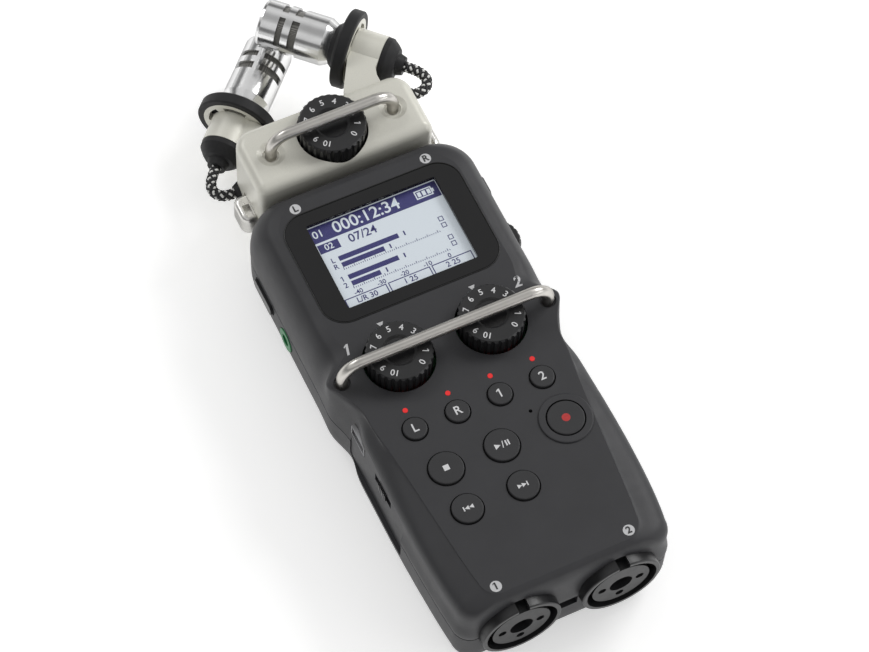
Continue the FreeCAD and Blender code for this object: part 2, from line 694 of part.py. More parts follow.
# Power slider in its slot, on a flange behind the wall
slot_y, slot_z = SLIDER_SLOT
cap_y, cap_z = SLIDER_CAP
slider_inner_x = PANEL_X + WALL
front_case = front_case.cut(box(-45, slider_inner_x + 1, SLIDER_Y - slot_y / 2, SLIDER_Y + slot_y / 2,
                                SLIDER_Z - slot_z / 2, SLIDER_Z + slot_z / 2))
slider_cap = box(PANEL_X - 0.6, slider_inner_x + 0.3, SLIDER_Y - cap_y / 2, SLIDER_Y + cap_y / 2,
                 SLIDER_Z - cap_z / 2, SLIDER_Z + cap_z / 2)
grip_cuts = [box(PANEL_X - 1, PANEL_X - 0.25, SLIDER_Y + i * 0.9 - 0.2, SLIDER_Y + i * 0.9 + 0.2,
                 SLIDER_Z - cap_z, SLIDER_Z + cap_z) for i in (-2, -1, 0, 1, 2)]
slider_flange = box(slider_inner_x + 0.25, slider_inner_x + 1.25, SLIDER_Y - 7.4, SLIDER_Y + 7.4,
                    SLIDER_Z - 2.0, SLIDER_Z + 2.0)
slider_cap = cut(slider_cap, grip_cuts).fuse(slider_flange)
switch_body = box(slider_inner_x + 1.45, slider_inner_x + 6.0, SLIDER_Y - 4, SLIDER_Y + 4,
                  BOARD_TOP_Z, SLIDER_Z + 1.5)


# ---------------------------------------------------------------- rocker, menu key, scroll wheel
def side_block(side, y, z, length, height, depth, proud, station):
    """A block that stands out of a side wall; returns the cap and its opening."""
    wall_x = half_width_at(station, z)
    x0, x1 = sorted((side * (wall_x + proud), side * (wall_x - depth)))
    block = box(x0, x1, y - length / 2, y + length / 2, z - height / 2, z + height / 2)
    block = block.makeFillet(min(length, height) * 0.32, edges_along(block, V(1, 0, 0)))
    gap = BUTTON_GAP
    h0, h1 = sorted((side * (wall_x + 8), side * (wall_x - WALL - 0.8)))
    hole = box(h0, h1, y - length / 2 - gap, y + length / 2 + gap, z - height / 2 - gap, z + height / 2 + gap)
    hole = hole.makeFillet(min(length, height) * 0.36, edges_along(hole, V(1, 0, 0)))
    return block, hole


display_station = STATIONS[-2]
volume_rocker, rocker_hole = side_block(-1, ROCKER_Y, ROCKER_Z, ROCKER_SIZE[0], ROCKER_SIZE[1], 3.4,
                                        ROCKER_PROUD, display_station)
pivot_x = -(half_width_at(display_station, ROCKER_Z) + ROCKER_PROUD - ROCKER_PIVOT_DEPTH)
pivot_reach = ROCKER_SIZE[1] / 2 + BUTTON_GAP + 0.9
volume_rocker = volume_rocker.fuse(cyl_z(ROCKER_PIN_R, ROCKER_Z - pivot_reach, ROCKER_Z + pivot_reach,
                                         pivot_x, ROCKER_Y))
pivot_hole = cyl_z(ROCKER_PIN_R + AXLE_GAP, ROCKER_Z - pivot_reach - 0.1, ROCKER_Z + pivot_reach + 0.1,
                   pivot_x, ROCKER_Y)
rear_case = cut(rear_case, [rocker_hole, pivot_hole])
menu_button, menu_hole = side_block(1, MENU_Y, MENU_Z, MENU_SIZE[0], MENU_SIZE[1], 4.0,
                                    MENU_PROUD, display_station)
front_case = front_case.cut(menu_hole)

wheel_x = half_width_at(display_station, WHEEL_Z) + WHEEL_PROUD - WHEEL_R
scroll_wheel = cyl_z(WHEEL_R, WHEEL_Z - WHEEL_THICK / 2, WHEEL_Z + WHEEL_THICK / 2, wheel_x, WHEEL_Y)
scroll_wheel = scroll_wheel.makeFillet(0.5, scroll_wheel.Edges[0:1] + scroll_wheel.Edges[2:3])
wheel_notches = []
for i in range(24):
    angle = 2 * math.pi * i / 24
    wheel_notches.append(cyl_z(0.4, WHEEL_Z - WHEEL_THICK, WHEEL_Z + WHEEL_THICK,
                               wheel_x + WHEEL_R * math.cos(angle), WHEEL_Y + WHEEL_R * math.sin(angle)))
scroll_wheel = scroll_wheel.cut(Part.makeCompound(wheel_notches))
scroll_wheel = scroll_wheel.cut(cyl_z(AXLE_R + AXLE_GAP, WHEEL_Z - WHEEL_THICK, WHEEL_Z + WHEEL_THICK,
                                      wheel_x, WHEEL_Y))
wheel_slot = box(wheel_x + 2, wheel_x + 20, WHEEL_Y - WHEEL_R - 0.4, WHEEL_Y + WHEEL_R + 0.4,
                 WHEEL_Z - WHEEL_THICK / 2 - DOOR_GAP, WHEEL_Z + WHEEL_THICK / 2 + DOOR_GAP)
front_case = front_case.cut(wheel_slot)


# ---------------------------------------------------------------- card, socket and door
def inner_half_width(z):
    return half_width_at(STATIONS[2], z) - DOOR_THICK


card_l, card_w, card_t = CARD_SIZE
card_x1 = inner_half_width(CARD_Z) - 0.2
card_x0 = card_x1 - card_l
memory_card = box(card_x0, card_x1, CARD_Y - card_w / 2, CARD_Y + card_w / 2, CARD_Z, CARD_Z + card_t)
clipped = edges_along(memory_card, V(0, 0, 1), lambda c: c.x < card_x0 + 0.1 and c.y < CARD_Y)
memory_card = memory_card.makeChamfer(1.5, clipped)
socket_gap = 0.1
card_socket = box(card_x0 + 1.5, card_x1 - 1.2, CARD_Y - card_w / 2 - 1.2, CARD_Y + card_w / 2 + 1.2,
                  CARD_Z - 0.6, BOARD_Z)
card_socket = card_socket.cut(box(card_x0 - 1, card_x1 + 1, CARD_Y - card_w / 2 - socket_gap,
                                  CARD_Y + card_w / 2 + socket_gap, CARD_Z - socket_gap,
                                  CARD_Z + card_t + socket_gap))

# Door: a piece of the side wall that swings out about a barrel along its lower edge
door_y0, door_y1 = DOOR_Y
door_z0, door_z1 = DOOR_Z
hinge_x = half_width_at(STATIONS[2], door_z0) - DOOR_THICK / 2
door_skin = rear_outer.cut(shell_blank(False, DOOR_THICK))
card_door = door_skin.common(box(10, 60, door_y0, door_y1, door_z0, door_z1))
barrel = cyl_y(DOOR_BARREL_R, door_y0, door_y1, hinge_x, door_z0)
card_door = card_door.fuse(barrel).removeSplitter()
door_hole = box(card_x1 - 3.0, 60, door_y0 - DOOR_GAP, door_y1 + DOOR_GAP,
                door_z0 - DOOR_BARREL_R - DOOR_SWING_GAP, door_z1 + DOOR_GAP)
rear_case = rear_case.cut(door_hole)
door_pins = cyl_y(0.3, door_y0 - 1.6, door_y1 + 1.6, hinge_x, door_z0)
card_door = card_door.cut(cyl_y(0.3 + AXLE_GAP, door_y0 - 1, door_y1 + 1, hinge_x, door_z0))


# ---------------------------------------------------------------- tripod insert and speaker
tripod_insert = cyl_z(THREAD_R + INSERT_WALL, 0, THREAD_LENGTH + 1.0, 0, 0)
tripod_insert = tripod_insert.cut(cyl_z(THREAD_R, -1, THREAD_LENGTH, 0, 0))
insert_boss = cyl_z(THREAD_R + INSERT_WALL + 1.6, WALL / 2, THREAD_LENGTH + 1.0, 0, 0)
rear_case = rear_case.fuse(insert_boss).cut(cyl_z(THREAD_R + INSERT_WALL, -1, THREAD_LENGTH + 2, 0, 0))

speaker_z = WALL + 0.6
speaker = cyl_z(SPEAKER_R, speaker_z, speaker_z + 1.4, 0, SPEAKER_Y)
speaker = speaker.fuse(cyl_z(SPEAKER_R * 0.6, speaker_z + 1.4, speaker_z + SPEAKER_DEPTH, 0, SPEAKER_Y))
speaker_rim = cyl_z(SPEAKER_R + 1.2, WALL / 2, speaker_z + 1.2, 0, SPEAKER_Y)
speaker_rim = speaker_rim.cut(cyl_z(SPEAKER_R + SEAT_GAP, speaker_z, speaker_z + 5, 0, SPEAKER_Y))
speaker_rim = speaker_rim.cut(cyl_z(SPEAKER_R - 1.0, -1, speaker_z + 5, 0, SPEAKER_Y))
rear_case = rear_case.fuse(speaker_rim)
grille_holes = []
for row in range(-2, 3):
    for column in range(-2, 3):
        if abs(row) + abs(column) < 4:
            grille_holes.append(cyl_z(GRILLE_HOLE_R, -1, WALL + 1, column * GRILLE_PITCH,
                                      SPEAKER_Y + row * GRILLE_PITCH))
rear_case = rear_case.cut(Part.makeCompound(grille_holes))


# ---------------------------------------------------------------- battery bay, cells, cover
bay_half_x = CELL_PITCH / 2 + CELL_R + 0.2
bay_end = CONTACT_THICK + 0.8
bay_y0 = CELL_Y - CELL_LENGTH / 2 - bay_end
bay_y1 = CELL_Y + CELL_LENGTH / 2 + bay_end
bay_roof_z = CELL_Z + CELL_R + 0.2
bay = box(-bay_half_x - BAY_WALL, bay_half_x + BAY_WALL, bay_y0 - BAY_WALL, bay_y1 + BAY_WALL,
          WALL / 2, bay_roof_z + 0.9)
rear_case = rear_case.fuse(bay)
rear_case = rear_case.cut(box(-bay_half_x, bay_half_x, bay_y0, bay_y1, -1, bay_roof_z))

battery_cover = rounded_box(-bay_half_x + DOOR_GAP, bay_half_x - DOOR_GAP, bay_y0 + DOOR_GAP,
                            bay_y1 - DOOR_GAP, 0, COVER_THICK, 0.6)
cover_grooves = [box(-6, 6, bay_y0 + 4 + i * 1.6, bay_y0 + 4.7 + i * 1.6, -1, 0.35) for i in range(5)]
battery_cover = cut(battery_cover, cover_grooves)


def cell(x, direction):
    """One AA cell lying along y; direction is +1 when its button end is towards +y."""
    nipple = 1.0
    y0 = CELL_Y - direction * CELL_LENGTH / 2
    y1 = y0 + direction * (CELL_LENGTH - nipple)
    body = cyl_y(CELL_R, y0, y1, x, CELL_Z)
    return body.fuse(cyl_y(2.7, y1, y1 + direction * nipple, x, CELL_Z))


cell_xs = (-CELL_PITCH / 2, CELL_PITCH / 2)
batteries = [cell(cell_xs[0], 1), cell(cell_xs[1], -1)]
battery_contacts = []
for wall_y, direction in ((bay_y0, 1), (bay_y1, -1)):
    y0, y1 = sorted((wall_y, wall_y + direction * CONTACT_THICK))
    strip = box(-bay_half_x + 1, bay_half_x - 1, y0, y1, 4.0, 14.5)
    bumps = [cyl_y(3.0, wall_y + direction * CONTACT_THICK, wall_y + direction * bay_end, x, CELL_Z)
             for x in cell_xs]
    battery_contacts.append(fuse([strip] + bumps))


# ---------------------------------------------------------------- board and case screws
SCREW_PLACES = ((-24.5, -63.0), (24.5, -63.0), (-24.5, 33.5), (24.5, 33.5))
SCREW_R = 1.0
SCREW_HEAD_R = 1.9
SCREW_HEAD_Z = 4.0
SCREW_HEAD_HEIGHT = 1.5
SCREW_END_Z = 26.0
COLUMN_R = 3.1

main_board = box(-BOARD_HALF_WIDTH, BOARD_HALF_WIDTH, BOARD_Y[0], BOARD_Y[1], BOARD_Z, BOARD_TOP_Z)
case_screws = []
for x, y in SCREW_PLACES:
    seat_z = SCREW_HEAD_Z + SCREW_HEAD_HEIGHT
    lower = cyl_z(COLUMN_R, 0, PARTING_Z, x, y).common(rear_outer)
    lower = lower.fuse(cyl_z(COLUMN_R, PARTING_Z, BOARD_Z, x, y))
    rear_case = rear_case.fuse(lower)
    rear_case = rear_case.cut(cyl_z(SCREW_HEAD_R + 0.3, -2, seat_z, x, y))
    rear_case = rear_case.cut(cyl_z(SCREW_R + 0.15, seat_z - 1, BOARD_Z + 1, x, y))
    upper = cyl_z(COLUMN_R - 0.7, BOARD_TOP_Z, INNER_FRONT_Z + 0.3, x, y)
    front_case = front_case.fuse(upper.common(front_outer))
    front_case = front_case.cut(cyl_z(SCREW_R, BOARD_TOP_Z - 1, SCREW_END_Z + 0.3, x, y))
    main_board = main_board.cut(cyl_z(SCREW_R + 0.2, BOARD_Z - 1, BOARD_TOP_Z + 1, x, y))
    head = cyl_z(SCREW_HEAD_R, SCREW_HEAD_Z, seat_z, x, y)
    cross = [box(x - 1.2, x + 1.2, y - 0.3, y + 0.3, SCREW_HEAD_Z - 1, SCREW_HEAD_Z + 0.8),
             box(x - 0.3, x + 0.3, y - 1.2, y + 1.2, SCREW_HEAD_Z - 1, SCREW_HEAD_Z + 0.8)]
    case_screws.append(cut(head, cross).fuse(cyl_z(SCREW_R, seat_z, SCREW_END_Z, x, y)))

# The board is notched for the scroll wheel and carries its chips, the wheel's axle and the
# power switch
wheel_notch = cyl_z(WHEEL_R + 0.8, BOARD_Z - 1, BOARD_TOP_Z + 1, wheel_x, WHEEL_Y)
axle_base = wheel_x - WHEEL_R - 4
main_board = main_board.cut(wheel_notch)
bracket_z = WHEEL_Z - WHEEL_THICK / 2 - 0.4
wheel_bracket = box(axle_base, wheel_x + 1.5, WHEEL_Y - 2, WHEEL_Y + 2, bracket_z - 1.0, bracket_z)
wheel_axle = cyl_z(AXLE_R, bracket_z - 0.5, WHEEL_Z + WHEEL_THICK / 2 + 0.8, wheel_x, WHEEL_Y)
chips = [
    box(4, 13, -64, -55, BOARD_TOP_Z, BOARD_TOP_Z + 1.4),
    box(6, 16, 4, 14, BOARD_TOP_Z, BOARD_TOP_Z + 1.2),
    box(-14, -4, -2, 8, BOARD_TOP_Z, BOARD_TOP_Z + 1.6),
]
main_board = fuse([main_board, wheel_bracket, wheel_axle, switch_body] + chips)
for x, y in SCREW_PLACES:
    main_board = main_board.cut(cyl_z(SCREW_R + 0.2, BOARD_Z - 1, BOARD_TOP_Z + 1, x, y))


# ---------------------------------------------------------------- module socket in the end wall
plug_x, plug_y, plug_z = PLUG_SIZE
plug_gap = 0.4
opening = box(-plug_x / 2 - plug_gap, plug_x / 2 + plug_gap, CASE_TOP_Y - 6, CASE_TOP_Y + 3,
              PLUG_Z - plug_z / 2 - plug_gap, PLUG_Z + plug_z / 2 + plug_gap)
front_case = front_case.cut(opening)
rear_case = rear_case.cut(opening)
socket_y1 = CASE_TOP_Y - WALL - 0.8
socket_y0 = MODULE_Y - plug_y - 2.0
skin_x = plug_x / 2 + plug_gap + SOCKET_SKIN
skin_z = plug_z / 2 + plug_gap + SOCKET_SKIN
module_socket = box(-skin_x, skin_x, socket_y0, socket_y1, PLUG_Z - skin_z, PLUG_Z + skin_z)
socket_mouth = box(-skin_x + SOCKET_SKIN, skin_x - SOCKET_SKIN, MODULE_Y - plug_y - 0.6, socket_y1 + 1,
                   PLUG_Z - skin_z + SOCKET_SKIN, PLUG_Z + skin_z - SOCKET_SKIN)
module_socket = module_socket.cut(socket_mouth)
main_board = main_board.cut(box(-skin_x - 0.2, skin_x + 0.2, socket_y0 - 0.2, 60, 0, 60))


# ---------------------------------------------------------------- microphone module housing
module_z0, module_z1 = MODULE_Z
DIMPLE_R = 3.9
DIMPLE_DEPTH = 0.8


def module_block(z0, z1, inset):
    """Plan form of the module between two levels, drawn in by inset."""
    half = MODULE_HALF_WIDTH - inset
    block = box(-half, half, MODULE_Y + inset, MODULE_END_Y - inset, z0, z1)
    upright = V(0, 0, 1)
    block = block.makeFillet(MODULE_CORNER - inset, edges_along(block, upright, lambda c: c.y > DIAL_Y))
    return block.makeFillet(MODULE_NEAR_CORNER, edges_along(block, upright, lambda c: c.y < DIAL_Y))


cover_blank = module_block(MODULE_SPLIT_Z, module_z1, 0.0)
cover_blank = cover_blank.makeFillet(MODULE_EDGE - 0.2, edges_at_z(cover_blank, module_z1))
mic_cover = cover_blank.cut(module_block(MODULE_SPLIT_Z - 1, module_z1 - MODULE_WALL, MODULE_WALL))
base_blank = module_block(module_z0, MODULE_SPLIT_Z, 0.0)
base_blank = base_blank.makeFillet(MODULE_EDGE - 1.2, edges_at_z(base_blank, module_z0))
mic_base = base_blank.cut(module_block(module_z0 + MODULE_WALL, MODULE_SPLIT_Z + 1, MODULE_WALL))

# Dial, its pot on a pillar, and the bar over it
gain_dial = knob(DIAL_R, module_z1 - KNOB_SINK, DIAL_TOP_Z, 0, DIAL_Y)
dial_pot_z = 20.0
dial_pot = pot(dial_pot_z, DIAL_TOP_Z, 0, DIAL_Y)
mic_cover = mic_cover.cut(cyl_z(DIAL_R + 0.5, module_z1 - 4, module_z1 + 2, 0, DIAL_Y))
mic_base = mic_base.fuse(cyl_z(4.0, module_z0 + 1, dial_pot_z, 0, DIAL_Y))

mic_bar = bent_bar(MODULE_BAR_FOOT_X, DIAL_Y, module_z1 - BAR_FOOT_DEPTH, MODULE_BAR_TOP_Z)
for x in (-MODULE_BAR_FOOT_X, MODULE_BAR_FOOT_X):
    boss = cyl_z(BAR_HOLE_R + 1.4, module_z1 - BAR_FOOT_DEPTH - 1, module_z1 - 1.0, x, DIAL_Y)
    dimple = Part.makeCone(BAR_HOLE_R + 0.3, DIMPLE_R, DIMPLE_DEPTH,
                           V(x, DIAL_Y, module_z1 - DIMPLE_DEPTH), V(0, 0, 1))
    mic_cover = mic_cover.fuse(boss).cut(dimple)
    mic_cover = mic_cover.cut(cyl_z(BAR_HOLE_R, module_z1 - 1.6, module_z1 + 1, x, DIAL_Y))
    mic_cover = mic_cover.cut(cyl_z(BAR_R, module_z1 - BAR_FOOT_DEPTH, module_z1 + 1, x, DIAL_Y))

# Release latches in the sides
latch_y0, latch_y1 = (MODULE_Y + y for y in LATCH_Y)
latch_z0, latch_z1 = LATCH_Z
wall_in_x = MODULE_HALF_WIDTH - MODULE_WALL


def latch():
    """Right release latch: a rounded tab with a grip slot and a flange behind the wall."""
    outer_x = MODULE_HALF_WIDTH + LATCH_PROUD
    tab = box(wall_in_x - 0.6, outer_x, latch_y0, latch_y1, latch_z0, latch_z1)
    tab = tab.makeFillet(2.6, edges_along(tab, V(0, 0, 1), lambda c: c.x > MODULE_HALF_WIDTH))
    tab = tab.makeFillet(1.4, [e for e in tab.Edges if e.CenterOfMass.x > MODULE_HALF_WIDTH - 1
                               and (abs(e.CenterOfMass.z - latch_z0) < 0.01
                                    or abs(e.CenterOfMass.z - latch_z1) < 0.01)])
    grip = box(MODULE_HALF_WIDTH + 0.4, MODULE_HALF_WIDTH + 2.4, latch_y0 + 1.2, latch_y0 + 5.2,
               latch_z1 - 1.8, latch_z1 + 1)
    flange = box(wall_in_x - 1.2, wall_in_x - 0.2, latch_y0 + 1.0, latch_y1 + 0.7,
                 latch_z0 - 0.6, latch_z1 + 1.0)
    return tab.cut(grip).fuse(flange)


latch_right = latch()
latch_left = mirror_x(latch_right)
latch_hole = box(wall_in_x - 1.3, 60, latch_y0 - DOOR_GAP, latch_y1 + DOOR_GAP,
                 latch_z0 - DOOR_GAP, latch_z1 + DOOR_GAP)
mic_cover = cut(mic_cover, [latch_hole, mirror_x(latch_hole)])

# Plug that goes into the recorder
plug_z0, plug_z1 = PLUG_Z - plug_z / 2, PLUG_Z + plug_z / 2
mic_plug = box(-plug_x / 2, plug_x / 2, MODULE_Y - plug_y, MODULE_Y + 4, plug_z0, plug_z1)
mic_plug = mic_plug.makeFillet(0.8, edges_along(mic_plug, V(0, 1, 0)))
plug_slot = box(-plug_x / 2 + 1.5, plug_x / 2 - 1.5, MODULE_Y - plug_y - 1, MODULE_Y - 1,
                PLUG_Z - 1.2, PLUG_Z + 1.2)
plug_flange = box(-plug_x / 2 - 1, plug_x / 2 + 1, MODULE_Y + MODULE_WALL, MODULE_Y + 4,
                  plug_z0 - 1, plug_z1 + 1)
mic_plug = mic_plug.cut(plug_slot).fuse(plug_flange)
plug_hole = box(-plug_x / 2 - 0.1, plug_x / 2 + 0.1, MODULE_Y - 1, MODULE_Y + MODULE_WALL + 0.1,
                plug_z0 - 0.1, plug_z1 + 0.1)
mic_cover = mic_cover.cut(plug_hole)
mic_base = mic_base.cut(plug_hole)


# ---------------------------------------------------------------- microphones on their arms
def along(side, z, distance):
    """A point on a microphone's axis; side is -1 for the left base, 1 for the right."""
    run = distance / math.sqrt(2)
    return V(side * run, CROSS_Y - run, z)


def turned(side, z, profile, start=0.0, sweep=360.0):
    """Revolve (distance, radius) points about a microphone's axis."""
    axis = V(side, -1, 0).normalize()
    points = [along(side, z, d) + V(0, 0, r) for d, r in profile]
    face = Part.Face(Part.makePolygon(points + points[:1]))
    if start:
        face.rotate(along(side, z, 0), axis, start)
    return face.revolve(along(side, z, 0), axis, sweep)


def tube_profile(d0, d1, r0, r1):
    return [(d0, r0), (d1, r0), (d1, r1), (d0, r1)]


def mic_can(side, z):
    """Chromed can, open at the front, with two rings of slots."""
    inner_r = CAN_R - CAN_SKIN
    nose = 1.1
    profile = [(CAN_FRONT, inner_r - 1.0), (CAN_FRONT, CAN_R - nose), (CAN_FRONT + 0.12, CAN_R - nose * 0.6),
               (CAN_FRONT + nose * 0.4, CAN_R - 0.22), (CAN_FRONT + nose, CAN_R), (CAN_SHOULDER, CAN_R),
               (CAN_TAIL, CAN_TAIL_R), (CAN_TAIL, 0), (CAN_SHOULDER - 0.3, 0),
               (CAN_SHOULDER - 0.3, inner_r), (CAN_FRONT + CAN_SKIN, inner_r),
               (CAN_FRONT + CAN_SKIN, inner_r - 1.0)]
    can = turned(side, z, profile)
    slots = []
    for d0, d1 in SLOT_BANDS:
        for i in range(SLOTS_ROUND):
            start = 360.0 / SLOTS_ROUND * i + 8.0
            slots.append(turned(side, z, tube_profile(d0, d1, inner_r - 0.5, CAN_R + 1), start, SLOT_ARC))
    return can.cut(Part.makeCompound(slots))


def mic_mesh(side, z):
    """Fine wire mesh sleeve behind the slots, closed across the front."""
    r = CAN_R - CAN_SKIN - MESH_GAP
    front = CAN_FRONT + CAN_SKIN + 0.1
    back = CAN_SHOULDER - 0.35
    return turned(side, z, [(front, 0), (front, r), (back, r), (back, r - MESH_SKIN),
                            (front + MESH_SKIN, r - MESH_SKIN), (front + MESH_SKIN, 0)])


def mic_capsule(side, z):
    """Microphone capsule on its stalk."""
    return turned(side, z, [(0.6, 0), (0.6, 5.3), (11.5, 5.3), (11.5, 3.0), (CAN_SHOULDER - 0.35, 3.0),
                            (CAN_SHOULDER - 0.35, 0)])


def shock_mount(side, z):
    """Rubber tyre and bell that carry a can."""
    d0, d1 = RING_SPAN
    bell_back = HUB_SPAN[0] - 0.1
    profile = [(CAN_TAIL + 0.05, 0), (CAN_TAIL + 0.05, CAN_TAIL_R + 0.3), (CAN_TAIL + 1.2, CAN_TAIL_R + 1.2),
               (d0, RING_BORE_R - 0.6), (d0, RING_R - 0.4), (d0 + 0.4, RING_R), (d1 - 0.4, RING_R),
               (d1, RING_R - 0.4), (d1, RING_BORE_R), (bell_back, RING_BORE_R), (bell_back, 0)]
    return turned(side, z, profile)


def mic_arm(side, z):
    """Cast arm: spoked hub inside the tyre, barrel, and the leg down into the module."""
    hub_d0, hub_d1 = HUB_SPAN
    d0, d1 = BARREL_SPAN
    ring = turned(side, z, tube_profile(hub_d0, hub_d1, HUB_R, RING_BORE_R - 0.05))
    barrel = turned(side, z, [(hub_d0, 0), (hub_d0, BARREL_R - 1.4), (d0, BARREL_R - 1.4), (d0, BARREL_R),
                              (d1, BARREL_R), (d1, 0)])
    spoke = turned(side, z, tube_profile(hub_d0, hub_d1, BARREL_R - 1.8, HUB_R + 0.3), 0.0, 20.0)
    spokes = []
    axis = V(side, -1, 0).normalize()
    for i in range(5):
        turned_spoke = spoke.copy()
        turned_spoke.rotate(along(side, z, 0), axis, 72.0 * i + 26.0)
        spokes.append(turned_spoke)
    down = V(-side, -1, 0).normalize() * (BARREL_R - 0.4)
    a = along(side, z, d0 + 0.15)
    b = along(side, z, d1)
    foot_y = MODULE_END_Y - MODULE_WALL - 1.4
    points = [a, b, b + down, V(side * 19.0, MODULE_END_Y + 1.7, z), V(side * 19.0, foot_y, z),
              V(side * 8.6, foot_y, z), V(side * 8.6, MODULE_END_Y + 1.0, z), a + down]
    leg = Part.Face(Part.makePolygon(points + points[:1])).extrude(V(0, 0, LEG_THICK))
    leg.translate(V(0, 0, -LEG_THICK / 2))
    return fuse([barrel, ring, leg] + spokes)


def mic_boot(side, z):
    """Stepped rubber boot where the lead leaves the arm."""
    d1 = BARREL_SPAN[1]
    d1 += 0.05
    return turned(side, z, [(d1, 0), (d1, 6.6), (d1 + 1.5, 6.5), (d1 + 3.1, 5.3), (d1 + 4.1, 4.3),
                            (d1 + 4.3, 3.2), (BOOT_TIP, 2.6), (BOOT_TIP, 0)])


def arm_slot(side, z):
    """Way through the module's end wall for an arm's leg."""
    x0, x1 = sorted((side * 8.3, side * 19.3))
    return box(x0, x1, MODULE_END_Y - MODULE_WALL - 1.7, MODULE_END_Y + 5,
               z - LEG_THICK / 2 - 0.3, z + LEG_THICK / 2 + 0.3)


def arm_pillar(side, z):
    """Pillar from the module's floor that the leg's foot rests on."""
    x0, x1 = sorted((side * 9.0, side * 18.6))
    foot_y = MODULE_END_Y - MODULE_WALL - 1.4
    return box(x0, x1, foot_y, foot_y + 1.2, module_z0 + 1, z - LEG_THICK / 2)


mics = ((-1, LEFT_MIC_Z), (1, RIGHT_MIC_Z))
for side, z in mics:
    mic_cover = mic_cover.cut(arm_slot(side, z))
    mic_base = mic_base.cut(arm_slot(side, z)).fuse(arm_pillar(side, z))


# ---------------------------------------------------------------- leads and their glands
lead_end_x = LEAD_ROUTE[-1][0]


def gland(side, z):
    """Conical gland through the module's side wall, facing the end of the lead."""
    wall_x = MODULE_HALF_WIDTH - MODULE_WALL
    cone = Part.makeCone(3.0, CORD_R + 0.5, lead_end_x - (wall_x + 0.6), V(side * (wall_x + 0.6), GLAND_Y, z),
                         V(side, 0, 0))
    collar = cyl_x(3.0, side * (wall_x - 1.2), side * (wall_x + 0.6), GLAND_Y, z)
    return fuse([collar, cone])


def rounded_route(side, z):
    """The lead's path: straight runs joined by tangent arcs as large as the runs allow."""
    points = [V(side * x, y, z) for x, y in LEAD_ROUTE]
    edges = []
    radii = []
    last = points[0]
    for before, here, after in zip(points, points[1:], points[2:]):
        back = before - here
        ahead = after - here
        half_turn = (math.pi - back.getAngle(ahead)) / 2
        reach = 0.45 * min(back.Length, ahead.Length)
        radius = reach / math.tan(half_turn)
        radii.append(radius)
        start = here + back.normalize() * reach
        end = here + ahead.normalize() * reach
        inward = (back + ahead).normalize()
        middle = here + inward * (radius / math.cos(half_turn) - radius)
        edges.append(Part.LineSegment(last, start).toShape())
        edges.append(Part.Arc(start, middle, end).toShape())
        last = end
    edges.append(Part.LineSegment(last, points[-1]).toShape())
    print("lead radii mm:", ["%.1f" % r for r in radii])
    return Part.Wire(edges)


def lead(side, z):
    path = rounded_route(side, z)
    start = path.Edges[0].firstVertex().Point
    heading = path.Edges[0].lastVertex().Point - start
    ring = Part.Wire(Part.Circle(start, heading, CORD_R).toShape())
    tube = path.makePipeShell([ring], True, False)
    print("lead length %.2f mm, volume %.2f against %.2f" % (
        path.Length, tube.Volume, path.Length * math.pi * CORD_R ** 2))
    return tube


for side, z in mics:
    gland_hole = cyl_x(3.1, side * (MODULE_HALF_WIDTH - MODULE_CORNER), side * 40, GLAND_Y, z)
    mic_cover = mic_cover.cut(gland_hole)
    mic_base = mic_base.cut(gland_hole)

# ---------------------------------------------------------------- write every node
rear_case = rear_case.fuse(door_pins)
save("front_case", front_case)
save("rear_case", rear_case)
save("display_window", display_window)
save("lcd_panel", lcd_panel)
save("main_board", main_board)
save("guard_bar", guard_bar)
for number, shell in enumerate(jack_shells, 1):
    save("jack_shell_%d" % number, shell)
save("jack_inserts", *jack_inserts)
save("phones_jack", phones_jack)
save("line_out_jack", line_out_jack)
save("usb_port", usb_port)
save("card_socket", card_socket)
save("memory_card", memory_card)
save("speaker", speaker)
save("tripod_insert", tripod_insert)
save("batteries", *batteries)
save("battery_contacts", *battery_contacts)
save("case_screws", *case_screws)
save("track_lamps", *lamps)
save("button_pad", button_pad)
save("gain_pots", *gain_pots)
save("module_socket", module_socket)
for number, shape in enumerate(gain_knobs, 1):
    save("gain_knob_%d" % number, shape)
for name, shape in zip(("left", "right", "1", "2"), track_keys):
    save("button_%s" % name, shape)
for name, shape in transport_keys.items():
    save(name, shape)
save("volume_rocker", volume_rocker)
save("power_slider", slider_cap)
save("menu_button", menu_button)
save("scroll_wheel", scroll_wheel)
save("card_door", card_door)
save("battery_cover", battery_cover)
save("mic_cover", mic_cover)
save("mic_base", mic_base)
save("mic_bar", mic_bar)
save("mic_plug", mic_plug)
save("gain_dial", gain_dial)
save("dial_pot", dial_pot)
save("latch_left", latch_left)
save("latch_right", latch_right)
for (side, z), name in zip(mics, ("left", "right")):
    save("mic_arm_%s" % name, mic_arm(side, z))
    save("shock_mount_%s" % name, shock_mount(side, z))
    save("mic_can_%s" % name, mic_can(side, z))
    save("mic_cable_%s" % name, lead(side, z))
save("mic_meshes", *[mic_mesh(side, z) for side, z in mics])
save("mic_capsules", *[mic_capsule(side, z) for side, z in mics])
save("mic_boots", *[mic_boot(side, z) for side, z in mics])
save("cable_glands", *[gland(side, z) for side, z in mics])
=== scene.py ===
import math

import bmesh
import bpy
from mathutils import Matrix, Vector
from mathutils.bvhtree import BVHTree


